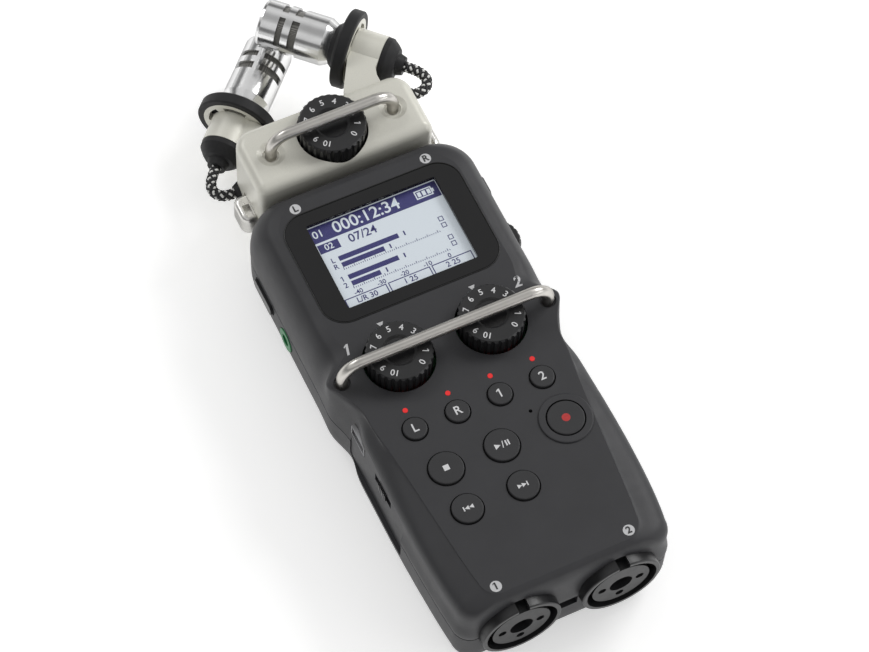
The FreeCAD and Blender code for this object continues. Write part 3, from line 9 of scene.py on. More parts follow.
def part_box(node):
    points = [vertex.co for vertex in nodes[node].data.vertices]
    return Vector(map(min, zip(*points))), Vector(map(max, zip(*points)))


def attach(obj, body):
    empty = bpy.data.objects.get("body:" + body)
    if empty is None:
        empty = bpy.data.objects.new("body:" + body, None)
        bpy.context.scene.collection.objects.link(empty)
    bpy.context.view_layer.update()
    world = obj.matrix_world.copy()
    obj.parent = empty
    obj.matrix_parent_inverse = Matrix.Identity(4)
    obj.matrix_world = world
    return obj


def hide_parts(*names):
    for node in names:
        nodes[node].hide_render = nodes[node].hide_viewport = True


# Looks of the handheld voice recorder, built round its CAD frame. Metres: MM turns the sizes
# below, which are in millimetres, into the scene's unit. The recorder lies on its back, its
# front face looks up and its microphones point along +Y.

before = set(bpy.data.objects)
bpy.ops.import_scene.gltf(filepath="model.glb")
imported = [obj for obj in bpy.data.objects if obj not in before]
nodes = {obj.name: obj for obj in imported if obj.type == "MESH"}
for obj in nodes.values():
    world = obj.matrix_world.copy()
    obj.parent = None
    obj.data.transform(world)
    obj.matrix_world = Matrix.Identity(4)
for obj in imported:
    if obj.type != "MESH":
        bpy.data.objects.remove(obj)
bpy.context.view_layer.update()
MM = 0.001
scene = bpy.context.scene

# ---------------------------------------------------------------- places
PANEL_DEPTH = 1.9            # from the flat front face down to the display panel
FRONT_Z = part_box("lcd_panel")[1].z / MM + PANEL_DEPTH
KEY_TOP_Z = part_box("button_play")[1].z / MM
PRINT_RISE = 0.025           # ink above the face that it lies on
WINDOW_Y = 17.1
WINDOW_SIZE = (51.4, 35.2)
WINDOW_CORNER = 6.6
LCD_SIZE = (38.0, 27.3)
LCD_Y = 17.05
SIGHT_CORNER = 0.5
SIGHT_STEPS = 3


def middle(node):
    """Centre of a CAD node at rest, in millimetres."""
    low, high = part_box(node)
    return (low + high) / 2 / MM


# ---------------------------------------------------------------- camera
CAMERA_AZIMUTH = -28.373
CAMERA_ELEVATION = 61.008
CAMERA_ROLL = 3.352
CAMERA_DISTANCE = 937.07
CAMERA_TARGET = Vector((2.731, -4.552, 20.0))
CAMERA_LENS = 144.994
CAMERA_SENSOR = 36.0
CAMERA_CLIP = (0.05, 20.0)   # metres


def make_camera():
    """A camera that looks at the target from the named angles."""
    data = bpy.data.cameras.new("camera")
    data.lens = CAMERA_LENS
    data.sensor_width = CAMERA_SENSOR
    data.clip_start, data.clip_end = CAMERA_CLIP
    camera = bpy.data.objects.new("camera", data)
    scene.collection.objects.link(camera)
    a = math.radians(CAMERA_AZIMUTH)
    e = math.radians(CAMERA_ELEVATION)
    back = Vector((math.sin(a) * math.cos(e), -math.cos(a) * math.cos(e), math.sin(e)))
    right = Vector((math.cos(a), math.sin(a), 0))
    turn = Matrix((right, back.cross(right), back)).transposed()
    turn = turn @ Matrix.Rotation(math.radians(CAMERA_ROLL), 3, "Z")
    place = (CAMERA_TARGET + back * CAMERA_DISTANCE) * MM
    camera.matrix_world = Matrix.Translation(place) @ turn.to_4x4()
    scene.camera = camera


make_camera()


# ---------------------------------------------------------------- material helpers
# Sockets of a colour mix node, which holds one set for each data type
MIX_FACTOR, MIX_A, MIX_B, MIX_RESULT = 0, 6, 7, 2
COLOUR_BAND = (0.3, 0.7)     # part of the noise over which a colour wanders


class Look:
    """One node material: a Principled shader and the helpers that add its procedural detail."""

    def __init__(self, name, colour, roughness, metallic=0.0, **sockets):
        self.material = bpy.data.materials.new(name)
        self.material.use_nodes = True
        tree = self.material.node_tree
        self.nodes = tree.nodes
        self.links = tree.links
        self.shader = self.nodes["Principled BSDF"]
        self.colour = colour
        self.shader.inputs["Base Color"].default_value = (*colour, 1)
        self.shader.inputs["Roughness"].default_value = roughness
        self.shader.inputs["Metallic"].default_value = metallic
        for socket, value in sockets.items():
            self.shader.inputs[socket.replace("_", " ")].default_value = value
        self.last_normal = None

    def add(self, kind, **settings):
        """A node of a kind, with its settings."""
        node = self.nodes.new(kind)
        for setting, value in settings.items():
            setattr(node, setting, value)
        return node

    def millimetres(self):
        """The object's own coordinates, in millimetres."""
        coordinates = self.add("ShaderNodeTexCoord")
        scale = self.add("ShaderNodeVectorMath", operation="SCALE")
        scale.inputs["Scale"].default_value = 1 / MM
        self.links.new(coordinates.outputs["Object"], scale.inputs[0])
        return scale.outputs[0]

    def noise(self, grain, detail=2.0):
        """Noise whose features are about grain millimetres across."""
        node = self.add("ShaderNodeTexNoise")
        node.inputs["Scale"].default_value = 1 / grain
        node.inputs["Detail"].default_value = detail
        self.links.new(self.millimetres(), node.inputs["Vector"])
        return node.outputs["Fac"]

    def remap(self, value, low, high):
        """A value of 0 to 1 spread from low to high."""
        node = self.add("ShaderNodeMapRange")
        node.inputs["To Min"].default_value = low
        node.inputs["To Max"].default_value = high
        self.links.new(value, node.inputs["Value"])
        return node.outputs[0]

    def vary_colour(self, grain, spread, detail=2.0):
        """Base colour that wanders by spread either way of itself."""
        ramp = self.add("ShaderNodeValToRGB")
        low, high = ramp.color_ramp.elements
        low.position, high.position = COLOUR_BAND
        low.color = (*[c * (1 - spread) for c in self.colour], 1)
        high.color = (*[min(1.0, c * (1 + spread)) for c in self.colour], 1)
        self.links.new(self.noise(grain, detail), ramp.inputs["Fac"])
        self.links.new(ramp.outputs["Color"], self.shader.inputs["Base Color"])
        return self

    def vary_roughness(self, grain, low, high):
        """Roughness that wanders from low to high."""
        self.links.new(self.remap(self.noise(grain), low, high), self.shader.inputs["Roughness"])
        return self

    def bump(self, height, depth):
        """Bump from a height output; depth is in millimetres."""
        node = self.add("ShaderNodeBump")
        node.inputs["Distance"].default_value = depth * MM
        node.inputs["Strength"].default_value = 1.0
        self.links.new(height, node.inputs["Height"])
        if self.last_normal:
            self.links.new(self.last_normal, node.inputs["Normal"])
        self.last_normal = node.outputs["Normal"]
        self.links.new(self.last_normal, self.shader.inputs["Normal"])
        return self

    def grain(self, size, depth, detail=2.0):
        """Fine noisy relief; size and depth are in millimetres."""
        return self.bump(self.noise(size, detail), depth)

    def inside_radius(self, x, y, radius, colour):
        """Paints colour within a radius of an upright axis, over the base colour."""
        flat = self.add("ShaderNodeVectorMath", operation="MULTIPLY")
        flat.inputs[1].default_value = (1, 1, 0)
        self.links.new(self.millimetres(), flat.inputs[0])
        distance = self.add("ShaderNodeVectorMath", operation="DISTANCE")
        distance.inputs[1].default_value = (x, y, 0)
        self.links.new(flat.outputs[0], distance.inputs[0])
        near = self.add("ShaderNodeMath", operation="LESS_THAN")
        near.inputs[1].default_value = radius
        self.links.new(distance.outputs["Value"], near.inputs[0])
        self.paint(near.outputs[0], colour)
        return self

    def paint(self, mask, colour):
        """Paints colour over the base colour where the mask is 1."""
        socket = self.shader.inputs["Base Color"]
        mix = self.add("ShaderNodeMix", data_type="RGBA")
        if socket.links:
            self.links.new(socket.links[0].from_socket, mix.inputs[MIX_A])
        else:
            mix.inputs[MIX_A].default_value = socket.default_value
        mix.inputs[MIX_B].default_value = (*colour, 1)
        self.links.new(mask, mix.inputs[MIX_FACTOR])
        self.links.new(mix.outputs[MIX_RESULT], socket)
        return self


def soft_touch(name, colour):
    """Matt moulded plastic with a fine leathery grain and faint handling marks."""
    look = Look(name, colour, 0.5, Specular_IOR_Level=0.42)
    look.vary_colour(9.0, 0.07, 4.0)
    look.vary_roughness(4.0, 0.44, 0.56)
    look.grain(0.16, 0.012, 3.0)
    look.grain(0.05, 0.006)
    return look


def hard_plastic(name, colour, roughness=0.3):
    """Harder, glossier moulding for knobs, keys and jacks."""
    look = Look(name, colour, roughness, Specular_IOR_Level=0.5)
    look.vary_colour(3.0, 0.08, 3.0)
    look.vary_roughness(1.5, roughness - 0.05, roughness + 0.08)
    look.grain(0.12, 0.006)
    return look


def rubber(name, colour):
    """Dull moulded rubber with a dusty, uneven surface."""
    look = Look(name, colour, 0.55, Specular_IOR_Level=0.35)
    look.vary_colour(2.5, 0.15, 4.0)
    look.vary_roughness(2.0, 0.48, 0.66)
    look.grain(0.2, 0.02, 4.0)
    return look


METAL_EDGE = (0.45, 0.45, 0.45, 1)     # keeps metal darker where it is seen edge-on


def metal(name, colour, roughness, grain=0.25, depth=0.004):
    """Bare or plated metal with faint streaks of wear."""
    look = Look(name, colour, roughness, metallic=1.0, Specular_Tint=METAL_EDGE)
    look.vary_colour(5.0, 0.05, 4.0)
    look.vary_roughness(0.9, roughness - 0.05, roughness + 0.07)
    look.grain(grain, depth)
    return look


def paint_look(name, colour):
    """Satin metallic paint with a slight orange peel and tiny flakes."""
    look = Look(name, colour, 0.4, metallic=0.15, Coat_Weight=0.25, Coat_Roughness=0.25)
    look.vary_colour(0.12, 0.05, 1.0)
    look.vary_roughness(3.0, 0.36, 0.46)
    look.grain(0.7, 0.012)
    look.grain(0.09, 0.004)
    return look


def ink(name, colour):
    """Screen-printed ink, a little uneven."""
    look = Look(name, colour, 0.45)
    look.vary_colour(0.4, 0.04, 2.0)
    look.grain(0.1, 0.004)
    return look


case_look = soft_touch("case_plastic", (0.030, 0.030, 0.033))
key_look = soft_touch("key_plastic", (0.026, 0.026, 0.028))
black_look = hard_plastic("black_plastic", (0.011, 0.011, 0.012))
jack_look = hard_plastic("jack_plastic", (0.012, 0.012, 0.013), 0.34)
insert_look = hard_plastic("jack_insert_plastic", (0.012, 0.012, 0.013), 0.42)
rubber_look = rubber("rubber", (0.011, 0.011, 0.012))
pad_look = rubber("pad_rubber", (0.05, 0.05, 0.055))
nickel_look = metal("satin_nickel", (0.63, 0.61, 0.575), 0.3, 0.6, 0.0008)
chrome_look = metal("chrome", (0.86, 0.86, 0.86), 0.17, 0.8, 0.0006)
latch_look = metal("latch_chrome", (0.74, 0.73, 0.70), 0.28, 0.6, 0.0008)
steel_look = metal("steel", (0.52, 0.52, 0.53), 0.33)
brass_look = metal("brass", (0.62, 0.44, 0.17), 0.3)
module_look = paint_look("module_paint", (0.670, 0.660, 0.590))
green_look = hard_plastic("green_ring", (0.012, 0.20, 0.06), 0.4)
white_ink = ink("white_ink", (0.68, 0.68, 0.69))
grey_ink = ink("grey_ink", (0.56, 0.56, 0.57))
dark_ink = ink("dark_ink", (0.030, 0.030, 0.032))


def paint_bricks(look, line, line_colour, first, second, **sizes):
    """Base colour from a brick pattern: two fills and the lines between them, in millimetres."""
    bricks = look.add("ShaderNodeTexBrick")
    bricks.inputs["Scale"].default_value = 1.0
    bricks.inputs["Mortar Size"].default_value = line
    for socket, colour in (("Color1", first), ("Color2", second), ("Mortar", line_colour)):
        bricks.inputs[socket].default_value = (*colour, 1)
    for socket, size in sizes.items():
        bricks.inputs[socket.replace("_", " ")].default_value = size
    look.links.new(look.millimetres(), bricks.inputs["Vector"])
    look.links.new(bricks.outputs["Color"], look.shader.inputs["Base Color"])
    return bricks


def board_look():
    """Green solder mask with a weave of tracks."""
    mask_green = (0.012, 0.10, 0.035)
    look = Look("board", mask_green, 0.35)
    paint_bricks(look, 0.06, (0.05, 0.22, 0.08), mask_green, (0.015, 0.13, 0.045))
    return look.grain(0.4, 0.02)


CELL_BAND = 9.0              # from the cells' middle to the edge of their dark end
DISH_SHARE = 0.52            # of a knob's radius
WEAVE_SCALE = 1.1            # gives a wire every 0.29 mm


def cell_look():
    """Printed battery jacket: a dark band at one end of a light sleeve."""
    look = Look("cell", (0.55, 0.56, 0.58), 0.3, metallic=0.6)
    look.vary_colour(4.0, 0.04)
    split = look.add("ShaderNodeSeparateXYZ")
    look.links.new(look.millimetres(), split.inputs[0])
    band = look.add("ShaderNodeMath", operation="GREATER_THAN")
    band.inputs[1].default_value = middle("batteries").y + CELL_BAND
    look.links.new(split.outputs["Y"], band.inputs[0])
    return look.paint(band.outputs[0], (0.04, 0.10, 0.30)).grain(0.3, 0.004)


def mesh_look():
    """Woven steel wire: two sets of crossing ridges."""
    look = Look("wire_mesh", (0.24, 0.235, 0.22), 0.45, metallic=0.4)
    ridges = []
    for direction in ("X", "Z"):
        wave = look.add("ShaderNodeTexWave", wave_type="BANDS", bands_direction=direction)
        wave.inputs["Scale"].default_value = WEAVE_SCALE
        look.links.new(look.millimetres(), wave.inputs["Vector"])
        ridges.append(wave.outputs["Fac"])
    woven = look.add("ShaderNodeMath", operation="MULTIPLY")
    for socket, ridge in enumerate(ridges):
        look.links.new(ridge, woven.inputs[socket])
    ramp = look.add("ShaderNodeValToRGB")
    gap, wire = ramp.color_ramp.elements
    gap.color = (0.12, 0.117, 0.11, 1)
    wire.color = (0.46, 0.45, 0.42, 1)
    look.links.new(woven.outputs[0], ramp.inputs["Fac"])
    look.links.new(ramp.outputs["Color"], look.shader.inputs["Base Color"])
    return look.bump(woven.outputs[0], 0.12)


def knob_look(name, node):
    """Black knob whose dished centre is a shade darker."""
    look = hard_plastic(name, (0.014, 0.014, 0.015), 0.32)
    centre = middle(node)
    low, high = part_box(node)
    dish = (high.x - low.x) / 2 / MM * DISH_SHARE
    return look.inside_radius(centre.x, centre.y, dish, (0.008, 0.008, 0.009))


def lamp_look():
    """Red lens that is lit from inside."""
    look = Look("lamp", (0.55, 0.015, 0.015), 0.25, Emission_Color=(0.9, 0.03, 0.03, 1),
                Emission_Strength=0.3)
    return look.vary_colour(0.5, 0.1)


def glow_ink(name, colour, strength):
    """Translucent print that is lit a little from below."""
    look = Look(name, colour, 0.4, Emission_Color=(*colour, 1), Emission_Strength=strength)
    return look.vary_colour(0.6, 0.12, 3.0)


# The look of each CAD node; the other buttons get key_look and anything else black_look
LOOKS = {
    "front_case": case_look, "rear_case": case_look, "card_door": case_look,
    "battery_cover": case_look, "lcd_panel": steel_look, "main_board": board_look(),
    "guard_bar": nickel_look, "mic_bar": nickel_look, "jack_shell_1": jack_look,
    "jack_shell_2": jack_look, "jack_inserts": insert_look, "phones_jack": green_look,
    "line_out_jack": black_look, "usb_port": steel_look, "card_socket": steel_look,
    "memory_card": black_look, "speaker": black_look, "tripod_insert": brass_look,
    "batteries": cell_look(), "battery_contacts": steel_look, "case_screws": steel_look,
    "track_lamps": lamp_look(), "button_pad": pad_look, "gain_pots": steel_look,
    "module_socket": black_look, "gain_knob_1": knob_look("knob_1", "gain_knob_1"),
    "gain_knob_2": knob_look("knob_2", "gain_knob_2"), "gain_dial": knob_look("dial", "gain_dial"),
    "volume_rocker": black_look, "power_slider": black_look, "menu_button": black_look,
    "scroll_wheel": black_look, "mic_cover": module_look, "mic_base": module_look,
    "mic_plug": black_look, "dial_pot": steel_look, "latch_left": latch_look,
    "latch_right": latch_look, "mic_arm_left": module_look, "mic_arm_right": module_look,
    "shock_mount_left": rubber_look, "shock_mount_right": rubber_look, "mic_boots": rubber_look,
    "cable_glands": rubber_look, "mic_can_left": chrome_look, "mic_can_right": chrome_look,
    "mic_meshes": mesh_look(), "mic_capsules": brass_look,
}
for name in nodes:
    look = LOOKS.get(name, key_look if name.startswith("button_") else black_look)
    for slot in nodes[name].material_slots:
        slot.material = look.material


# ---------------------------------------------------------------- mesh helpers
def new_object(name, mesh, look, body):
    """An object with a look that rides on a body."""
    made = bpy.data.objects.new(name, mesh)
    scene.collection.objects.link(made)
    mesh.materials.append(look.material)
    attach(made, body)
    return made


def smooth(mesh, angle):
    """Smooth shading, with edges sharper than an angle in degrees kept."""
    for polygon in mesh.polygons:
        polygon.use_smooth = True
    mesh.set_sharp_from_angle(angle=math.radians(angle))


def rounded_outline(width, length, radius, centre_y=0.0, steps=10):
    """Points round a rectangle with round corners, anticlockwise, in millimetres."""
    points = []
    corners = ((1, 1, 0), (-1, 1, 90), (-1, -1, 180), (1, -1, 270))
    for sx, sy, start in corners:
        cx = sx * (width / 2 - radius)
        cy = centre_y + sy * (length / 2 - radius)
        for i in range(steps + 1):
            angle = math.radians(start + 90 * i / steps)
            points.append((cx + radius * math.cos(angle), cy + radius * math.sin(angle)))
    return points


def surface_below(node):
    """Ray caster on a CAD node, for laying ink on it."""
    mesh = nodes[node].data
    corners = [vertex.co for vertex in mesh.vertices]
    return BVHTree.FromPolygons(corners, [p.vertices for p in mesh.polygons])


def evaluated_mesh(curve):
    """The mesh of a curve or text; the curve is used up."""
    holder = bpy.data.objects.new(curve.name, curve)
    scene.collection.objects.link(holder)
    bpy.context.view_layer.update()
    mesh = bpy.data.meshes.new_from_object(holder)
    bpy.data.objects.remove(holder)
    bpy.data.curves.remove(curve)
    return mesh


def font_mesh(text, size, shear, bold):
    """The filled outline of a text, centred, as corners and faces in millimetres."""
    curve = bpy.data.curves.new("text", "FONT")
    curve.body = text
    curve.size = size
    curve.shear = shear
    curve.offset = size * bold
    curve.align_x = "CENTER"
    curve.align_y = "CENTER"
    curve.resolution_u = 6
    mesh = evaluated_mesh(curve)
    corners = [(v.co.x, v.co.y) for v in mesh.vertices]
    faces = [tuple(p.vertices) for p in mesh.polygons]
    bpy.data.meshes.remove(mesh)
    return corners, faces


# The flag of a lone 1, which the font's plain stroke lacks, as shares of the text size
FLAG_REACH = 0.16
FLAG_DROP = 0.13
FLAG_TIP = 0.09
FLAG_ROOT = 0.12
STROKE_TOP = 0.1             # depth in which the stroke's left edge is found
TEXT_WEIGHT = 0.012          # outline fattening
RAY_START_Z = 60.0           # above the whole recorder
DOWN = Vector((0, 0, -1))


class Print:
    """Flat ink shapes that become one piece lying on a face; sizes are in millimetres."""

    def __init__(self):
        self.corners = []
        self.faces = []

    def polygon(self, points):
        first = len(self.corners)
        self.corners.extend(points)
        self.faces.append(tuple(range(first, first + len(points))))
        return self

    def bar(self, x0, x1, y0, y1):
        return self.polygon([(x0, y0), (x1, y0), (x1, y1), (x0, y1)])

    def frame(self, x0, x1, y0, y1, line):
        """The outline of a box."""
        self.bar(x0, x1, y0, y0 + line)
        self.bar(x0, x1, y1 - line, y1)
        self.bar(x0, x0 + line, y0 + line, y1 - line)
        return self.bar(x1 - line, x1, y0 + line, y1 - line)

    def disc(self, x, y, radius, steps=40):
        turns = [2 * math.pi * i / steps for i in range(steps)]
        return self.polygon([(x + radius * math.cos(a), y + radius * math.sin(a)) for a in turns])

    def text(self, words, size, x, y, angle=0.0, shear=0.0, bold=TEXT_WEIGHT):
        """Text centred on x, y and turned by an angle in radians."""
        corners, faces = font_mesh(words, size, shear, bold)
        first = len(self.corners)
        c, s = math.cos(angle), math.sin(angle)
        self.corners.extend((x + px * c - py * s, y + px * s + py * c) for px, py in corners)
        self.faces.extend(tuple(first + i for i in face) for face in faces)
        if words == "1":
            high = max(py for _, py in corners)
            left = min(px for px, py in corners if py > high - STROKE_TOP * size)
            reach = left - FLAG_REACH * size
            flag = ((left, high), (reach, high - FLAG_DROP * size),
                    (reach, high - (FLAG_DROP + FLAG_TIP) * size), (left, high - FLAG_ROOT * size))
            self.polygon([(x + px * c - py * s, y + px * s + py * c) for px, py in flag])
        return self

    def lay(self, name, look, body, slot, z=None, on=None):
        """Makes the piece at a level, or dropped on the face of a CAD node."""
        below = surface_below(on) if on else None
        placed = []
        for x, y in self.corners:
            level = z
            if below:
                hit = below.ray_cast(Vector((x, y, RAY_START_Z)) * MM, DOWN)[0]
                level = hit.z / MM if hit else FRONT_Z
            placed.append((x * MM, y * MM, (level + PRINT_RISE) * MM))
        mesh = bpy.data.meshes.new(name)
        mesh.from_pydata(placed, [], self.faces)
        mesh.validate()
        return new_object(name, mesh, look, body)


# ---------------------------------------------------------------- microphone leads
# The same points as in the CAD source, in metres, for the right side
LEAD_ROUTE = (
    (0.02864, 0.06981),
    (0.03050, 0.06795),
    (0.03205, 0.06575),
    (0.03260, 0.06340),
    (0.03160, 0.06135),
    (0.02960, 0.06030),
    (0.02720, 0.06030),
)
STRANDS = 6                  # in each direction of the braid
STRAND_R = 0.39
STRAND_SIDES = 7
BRAID_R = 1.06
BRAID_WEAVE = 0.13           # how far a strand rises and dips
BRAID_PITCH = 6.5            # length of one turn
CORE_R = 0.95
CORE_SIDES = 16
BRAID_SMOOTH = 60.0          # degrees
TRACERS = (0, 2, 4)          # the light strands, all in one direction
TUBE_REFERENCE = Vector((0.31, 0.17, 0.94))      # never along a lead


def lead_line(side, z):
    """Points along the lead's spline, in millimetres."""
    curve = bpy.data.curves.new("lead", "CURVE")
    curve.dimensions = "3D"
    curve.resolution_u = 24
    spline = curve.splines.new("NURBS")
    spline.points.add(len(LEAD_ROUTE) - 1)
    for point, (x, y) in zip(spline.points, LEAD_ROUTE):
        point.co = (side * x, y, z * MM, 1)
    spline.order_u = 3
    spline.use_endpoint_u = True
    mesh = evaluated_mesh(curve)
    line = [v.co / MM for v in mesh.vertices]
    bpy.data.meshes.remove(mesh)
    return line


def frames_along(line):
    """Each point with its two cross directions and its distance from the start."""
    up = Vector((0, 0, 1))
    run = 0.0
    placed = []
    for i, point in enumerate(line):
        heading = line[min(i + 1, len(line) - 1)] - line[max(i - 1, 0)]
        if i:
            run += (point - line[i - 1]).length
        placed.append((point, up.cross(heading).normalized(), up, run))
    return placed


def add_tube(made, centres, radius, sides):
    """Adds a closed tube round a line of centres to a bmesh; sizes in millimetres."""
    rings = []
    for i, centre in enumerate(centres):
        heading = (centres[min(i + 1, len(centres) - 1)] - centres[max(i - 1, 0)]).normalized()
        across = heading.cross(TUBE_REFERENCE).normalized()
        over = heading.cross(across)
        ring = []
        for k in range(sides):
            turn = 2 * math.pi * k / sides
            reach = (across * math.cos(turn) + over * math.sin(turn)) * radius
            ring.append(made.verts.new((centre + reach) * MM))
        rings.append(ring)
    for before, after in zip(rings, rings[1:]):
        for k in range(sides):
            n = (k + 1) % sides
            made.faces.new((before[k], before[n], after[n], after[k]))
    made.faces.new(list(reversed(rings[0])))
    made.faces.new(rings[-1])


def strand(placed, direction, index):
    """Centreline of one strand of the braid, over and under the strands that cross it."""
    centres = []
    for point, across, up, run in placed:
        turn = direction * 2 * math.pi * run / BRAID_PITCH + 2 * math.pi * index / STRANDS
        reach = BRAID_R + BRAID_WEAVE * direction * math.cos(STRANDS * turn)
        centres.append(point + (across * math.cos(turn) + up * math.sin(turn)) * reach)
    return centres


thread_look = Look("black_thread", (0.014, 0.014, 0.015), 0.6)
thread_look.vary_colour(0.5, 0.2).grain(0.12, 0.03)
tracer_look = Look("white_thread", (0.74, 0.74, 0.72), 0.65)
tracer_look.vary_colour(0.4, 0.12).grain(0.12, 0.03)


def make_lead(name, side, z):
    """The core and braid of one lead, with its light strands as a piece of their own."""
    placed = frames_along(lead_line(side, z))
    dark, light = bmesh.new(), bmesh.new()
    add_tube(dark, [point for point, *_ in placed], CORE_R, CORE_SIDES)
    for direction in (-1, 1):
        for index in range(STRANDS):
            target = light if direction > 0 and index in TRACERS else dark
            add_tube(target, strand(placed, direction, index), STRAND_R, STRAND_SIDES)
    for piece, made, look in ((name, dark, thread_look), (name + "_tracers", light, tracer_look)):
        mesh = bpy.data.meshes.new(piece)
        made.to_mesh(mesh)
        made.free()
        smooth(mesh, BRAID_SMOOTH)
        lead = new_object("braid_" + piece, mesh, look, "mic_module")
        if piece == name:
            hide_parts(name)


for name, side in (("mic_cable_left", -1), ("mic_cable_right", 1)):
    make_lead(name, side, middle(name).z)


# ---------------------------------------------------------------- display
PLATE_SMOOTH = 30.0          # degrees
PANE_SLACK = 0.02
PANE_THICK = 0.5
PANE_SINK = 0.01             # pane's face below the border's
# The bead round the window is painted shade: its near-black colour stands in for the shaded groove
# between the window and the case.
SHADE_BEAD_R = 0.17
SHADE_BEAD_OFFSET = 0.21            # from the window's edge
SHADE_BEAD_RISE = 0.01


def plate(name, outline, z0, z1, look, hole=(), bevel=0.12):
    """A flat plate with an optional hole, its upper edges bevelled."""
    made = bmesh.new()
    loops = []
    for points in [outline] + ([hole] if hole else []):
        verts = [made.verts.new((x * MM, y * MM, z1 * MM)) for x, y in points]
        loops.append([made.edges.new((a, b)) for a, b in zip(verts, verts[1:] + verts[:1])])
    bmesh.ops.triangle_fill(made, edges=[e for loop in loops for e in loop], use_beauty=True)
    for face in made.faces:
        if face.normal.z < 0:
            face.normal_flip()
    top = list(made.faces)
    rim = [e for e in made.edges if e.is_boundary]
    lowered = bmesh.ops.extrude_edge_only(made, edges=rim)["geom"]
    for part in lowered:
        if isinstance(part, bmesh.types.BMVert):
            part.co.z = z0 * MM
    # The edges between the top and the walls
    sharp = [e for e in made.edges if len(e.link_faces) == 2
             and sum(f in top for f in e.link_faces) == 1]
    bmesh.ops.bevel(made, geom=sharp, offset=bevel * MM, segments=2, affect="EDGES")
    bmesh.ops.recalc_face_normals(made, faces=made.faces)
    mesh = bpy.data.meshes.new(name)
    made.to_mesh(mesh)
    made.free()
    smooth(mesh, PLATE_SMOOTH)
    return new_object(name, mesh, look, "recorder")


window_low, window_high = (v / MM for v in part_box("display_window"))
window_outline = rounded_outline(*WINDOW_SIZE, WINDOW_CORNER, WINDOW_Y)
sight_outline = rounded_outline(*LCD_SIZE, SIGHT_CORNER, LCD_Y, SIGHT_STEPS)
pane_size = [side - PANE_SLACK for side in LCD_SIZE]
pane_outline = rounded_outline(*pane_size, SIGHT_CORNER, LCD_Y, SIGHT_STEPS)

border_look = Look("window_border", (0.0055, 0.0055, 0.0060), 0.12, Specular_IOR_Level=0.4)
border_look.vary_colour(6.0, 0.12).grain(0.9, 0.0015)
pane_look = Look("window_pane", (0.02, 0.02, 0.025), 0.05, Alpha=0.10, IOR=1.49)
pane_look.vary_roughness(5.0, 0.03, 0.08)
border = plate("window_border", window_outline, window_low.z, window_high.z, border_look,
               sight_outline)
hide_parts("display_window")
plate("window_pane", pane_outline, window_high.z - PANE_THICK, window_high.z - PANE_SINK, pane_look,
      bevel=0.02)


def outline_wire(name, points, z, radius, look):
    """A thin closed bead that follows an outline."""
    curve = bpy.data.curves.new(name, "CURVE")
    curve.dimensions = "3D"
    curve.bevel_depth = radius * MM
    curve.bevel_resolution = 3
    spline = curve.splines.new("POLY")
    spline.points.add(len(points) - 1)
    for point, (x, y) in zip(spline.points, points):
        point.co = (x * MM, y * MM, z * MM, 1)
    spline.use_cyclic_u = True
    made = bpy.data.objects.new(name, curve)
    scene.collection.objects.link(made)
    curve.materials.append(look.material)
    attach(made, "recorder")
    return made


# A near-black bead of painted shade, laid where the groove round the window lies.
groove_shade_look = hard_plastic("window_groove_shade", (0.004, 0.004, 0.004), 0.35)
shade_bead_size = [side + 2 * SHADE_BEAD_OFFSET for side in WINDOW_SIZE]
shade_bead_points = rounded_outline(*shade_bead_size, WINDOW_CORNER + SHADE_BEAD_OFFSET, WINDOW_Y)
outline_wire("window_groove_shade", shade_bead_points, FRONT_Z + SHADE_BEAD_RISE, SHADE_BEAD_R, groove_shade_look)

lcd_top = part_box("lcd_panel")[1].z / MM
lcd_left, lcd_right = -LCD_SIZE[0] / 2, LCD_SIZE[0] / 2
lcd_low, lcd_high = LCD_Y - LCD_SIZE[1] / 2, LCD_Y + LCD_SIZE[1] / 2


DOT_PITCH = 0.3
DOT_GAP = 0.03


def lcd_glass_look():
    """Pale backlit liquid crystal with its faint grid of dots."""
    look = Look("lcd_glass", (0.60, 0.66, 0.70), 0.4, Emission_Color=(0.70, 0.78, 0.84, 1),
                Emission_Strength=0.26)
    dots = paint_bricks(look, DOT_GAP, (0.60, 0.65, 0.70), (0.67, 0.72, 0.77), (0.66, 0.71, 0.76),
                        Brick_Width=DOT_PITCH, Row_Height=DOT_PITCH)
    dots.offset = 0.0
    return look


pale_look = lcd_glass_look()
pixel_look = Look("lcd_pixels", (0.050, 0.048, 0.20), 0.45)
pixel_look.vary_colour(1.2, 0.06).grain(0.3, 0.002)

GLASS_MARGIN = 0.4           # how far the glass goes under the window's border
DARK_RISE = 0.03             # of the dark and the light areas above the glass
LIGHT_RISE = 0.06
TITLE_HEIGHT = 5.0
TITLE_TEXTS = (("000:12:34", 5.0, -2.4), ("01", 3.2, -16.6))     # words, size, x
# Boxes as x0, x1, y0, y1, with y from the title band's lower edge
BATTERY_BOX = (12.2, 17.2, 1.2, 3.9)
BATTERY_TIP = (17.2, 17.7, 2.0, 3.1)
BATTERY_BARS = ((12.9, 13.9, 1.8, 3.3), (14.3, 15.3, 1.8, 3.3), (15.7, 16.7, 1.8, 3.3))
BATTERY_LINE = 0.35
TAKE_BOX = (-18.4, -12.4, -3.5, -0.7)
TAKE_TEXT = ("02", 2.6, -15.4, -2.1)             # words, size, x, y
COUNTER_TEXT = ("07/24", 3.6, -5.6, -2.2)
FOOT_HEIGHT = 3.1
FOOT_MARGIN = 0.5
FOOT_LINE = 0.28
FOOT_TEXT = 2.3
FOOT_BOXES = ((-18.6, -6.4, "L/R 30"), (-5.9, 6.4, "1 25"), (6.9, 18.6, "2 25"))
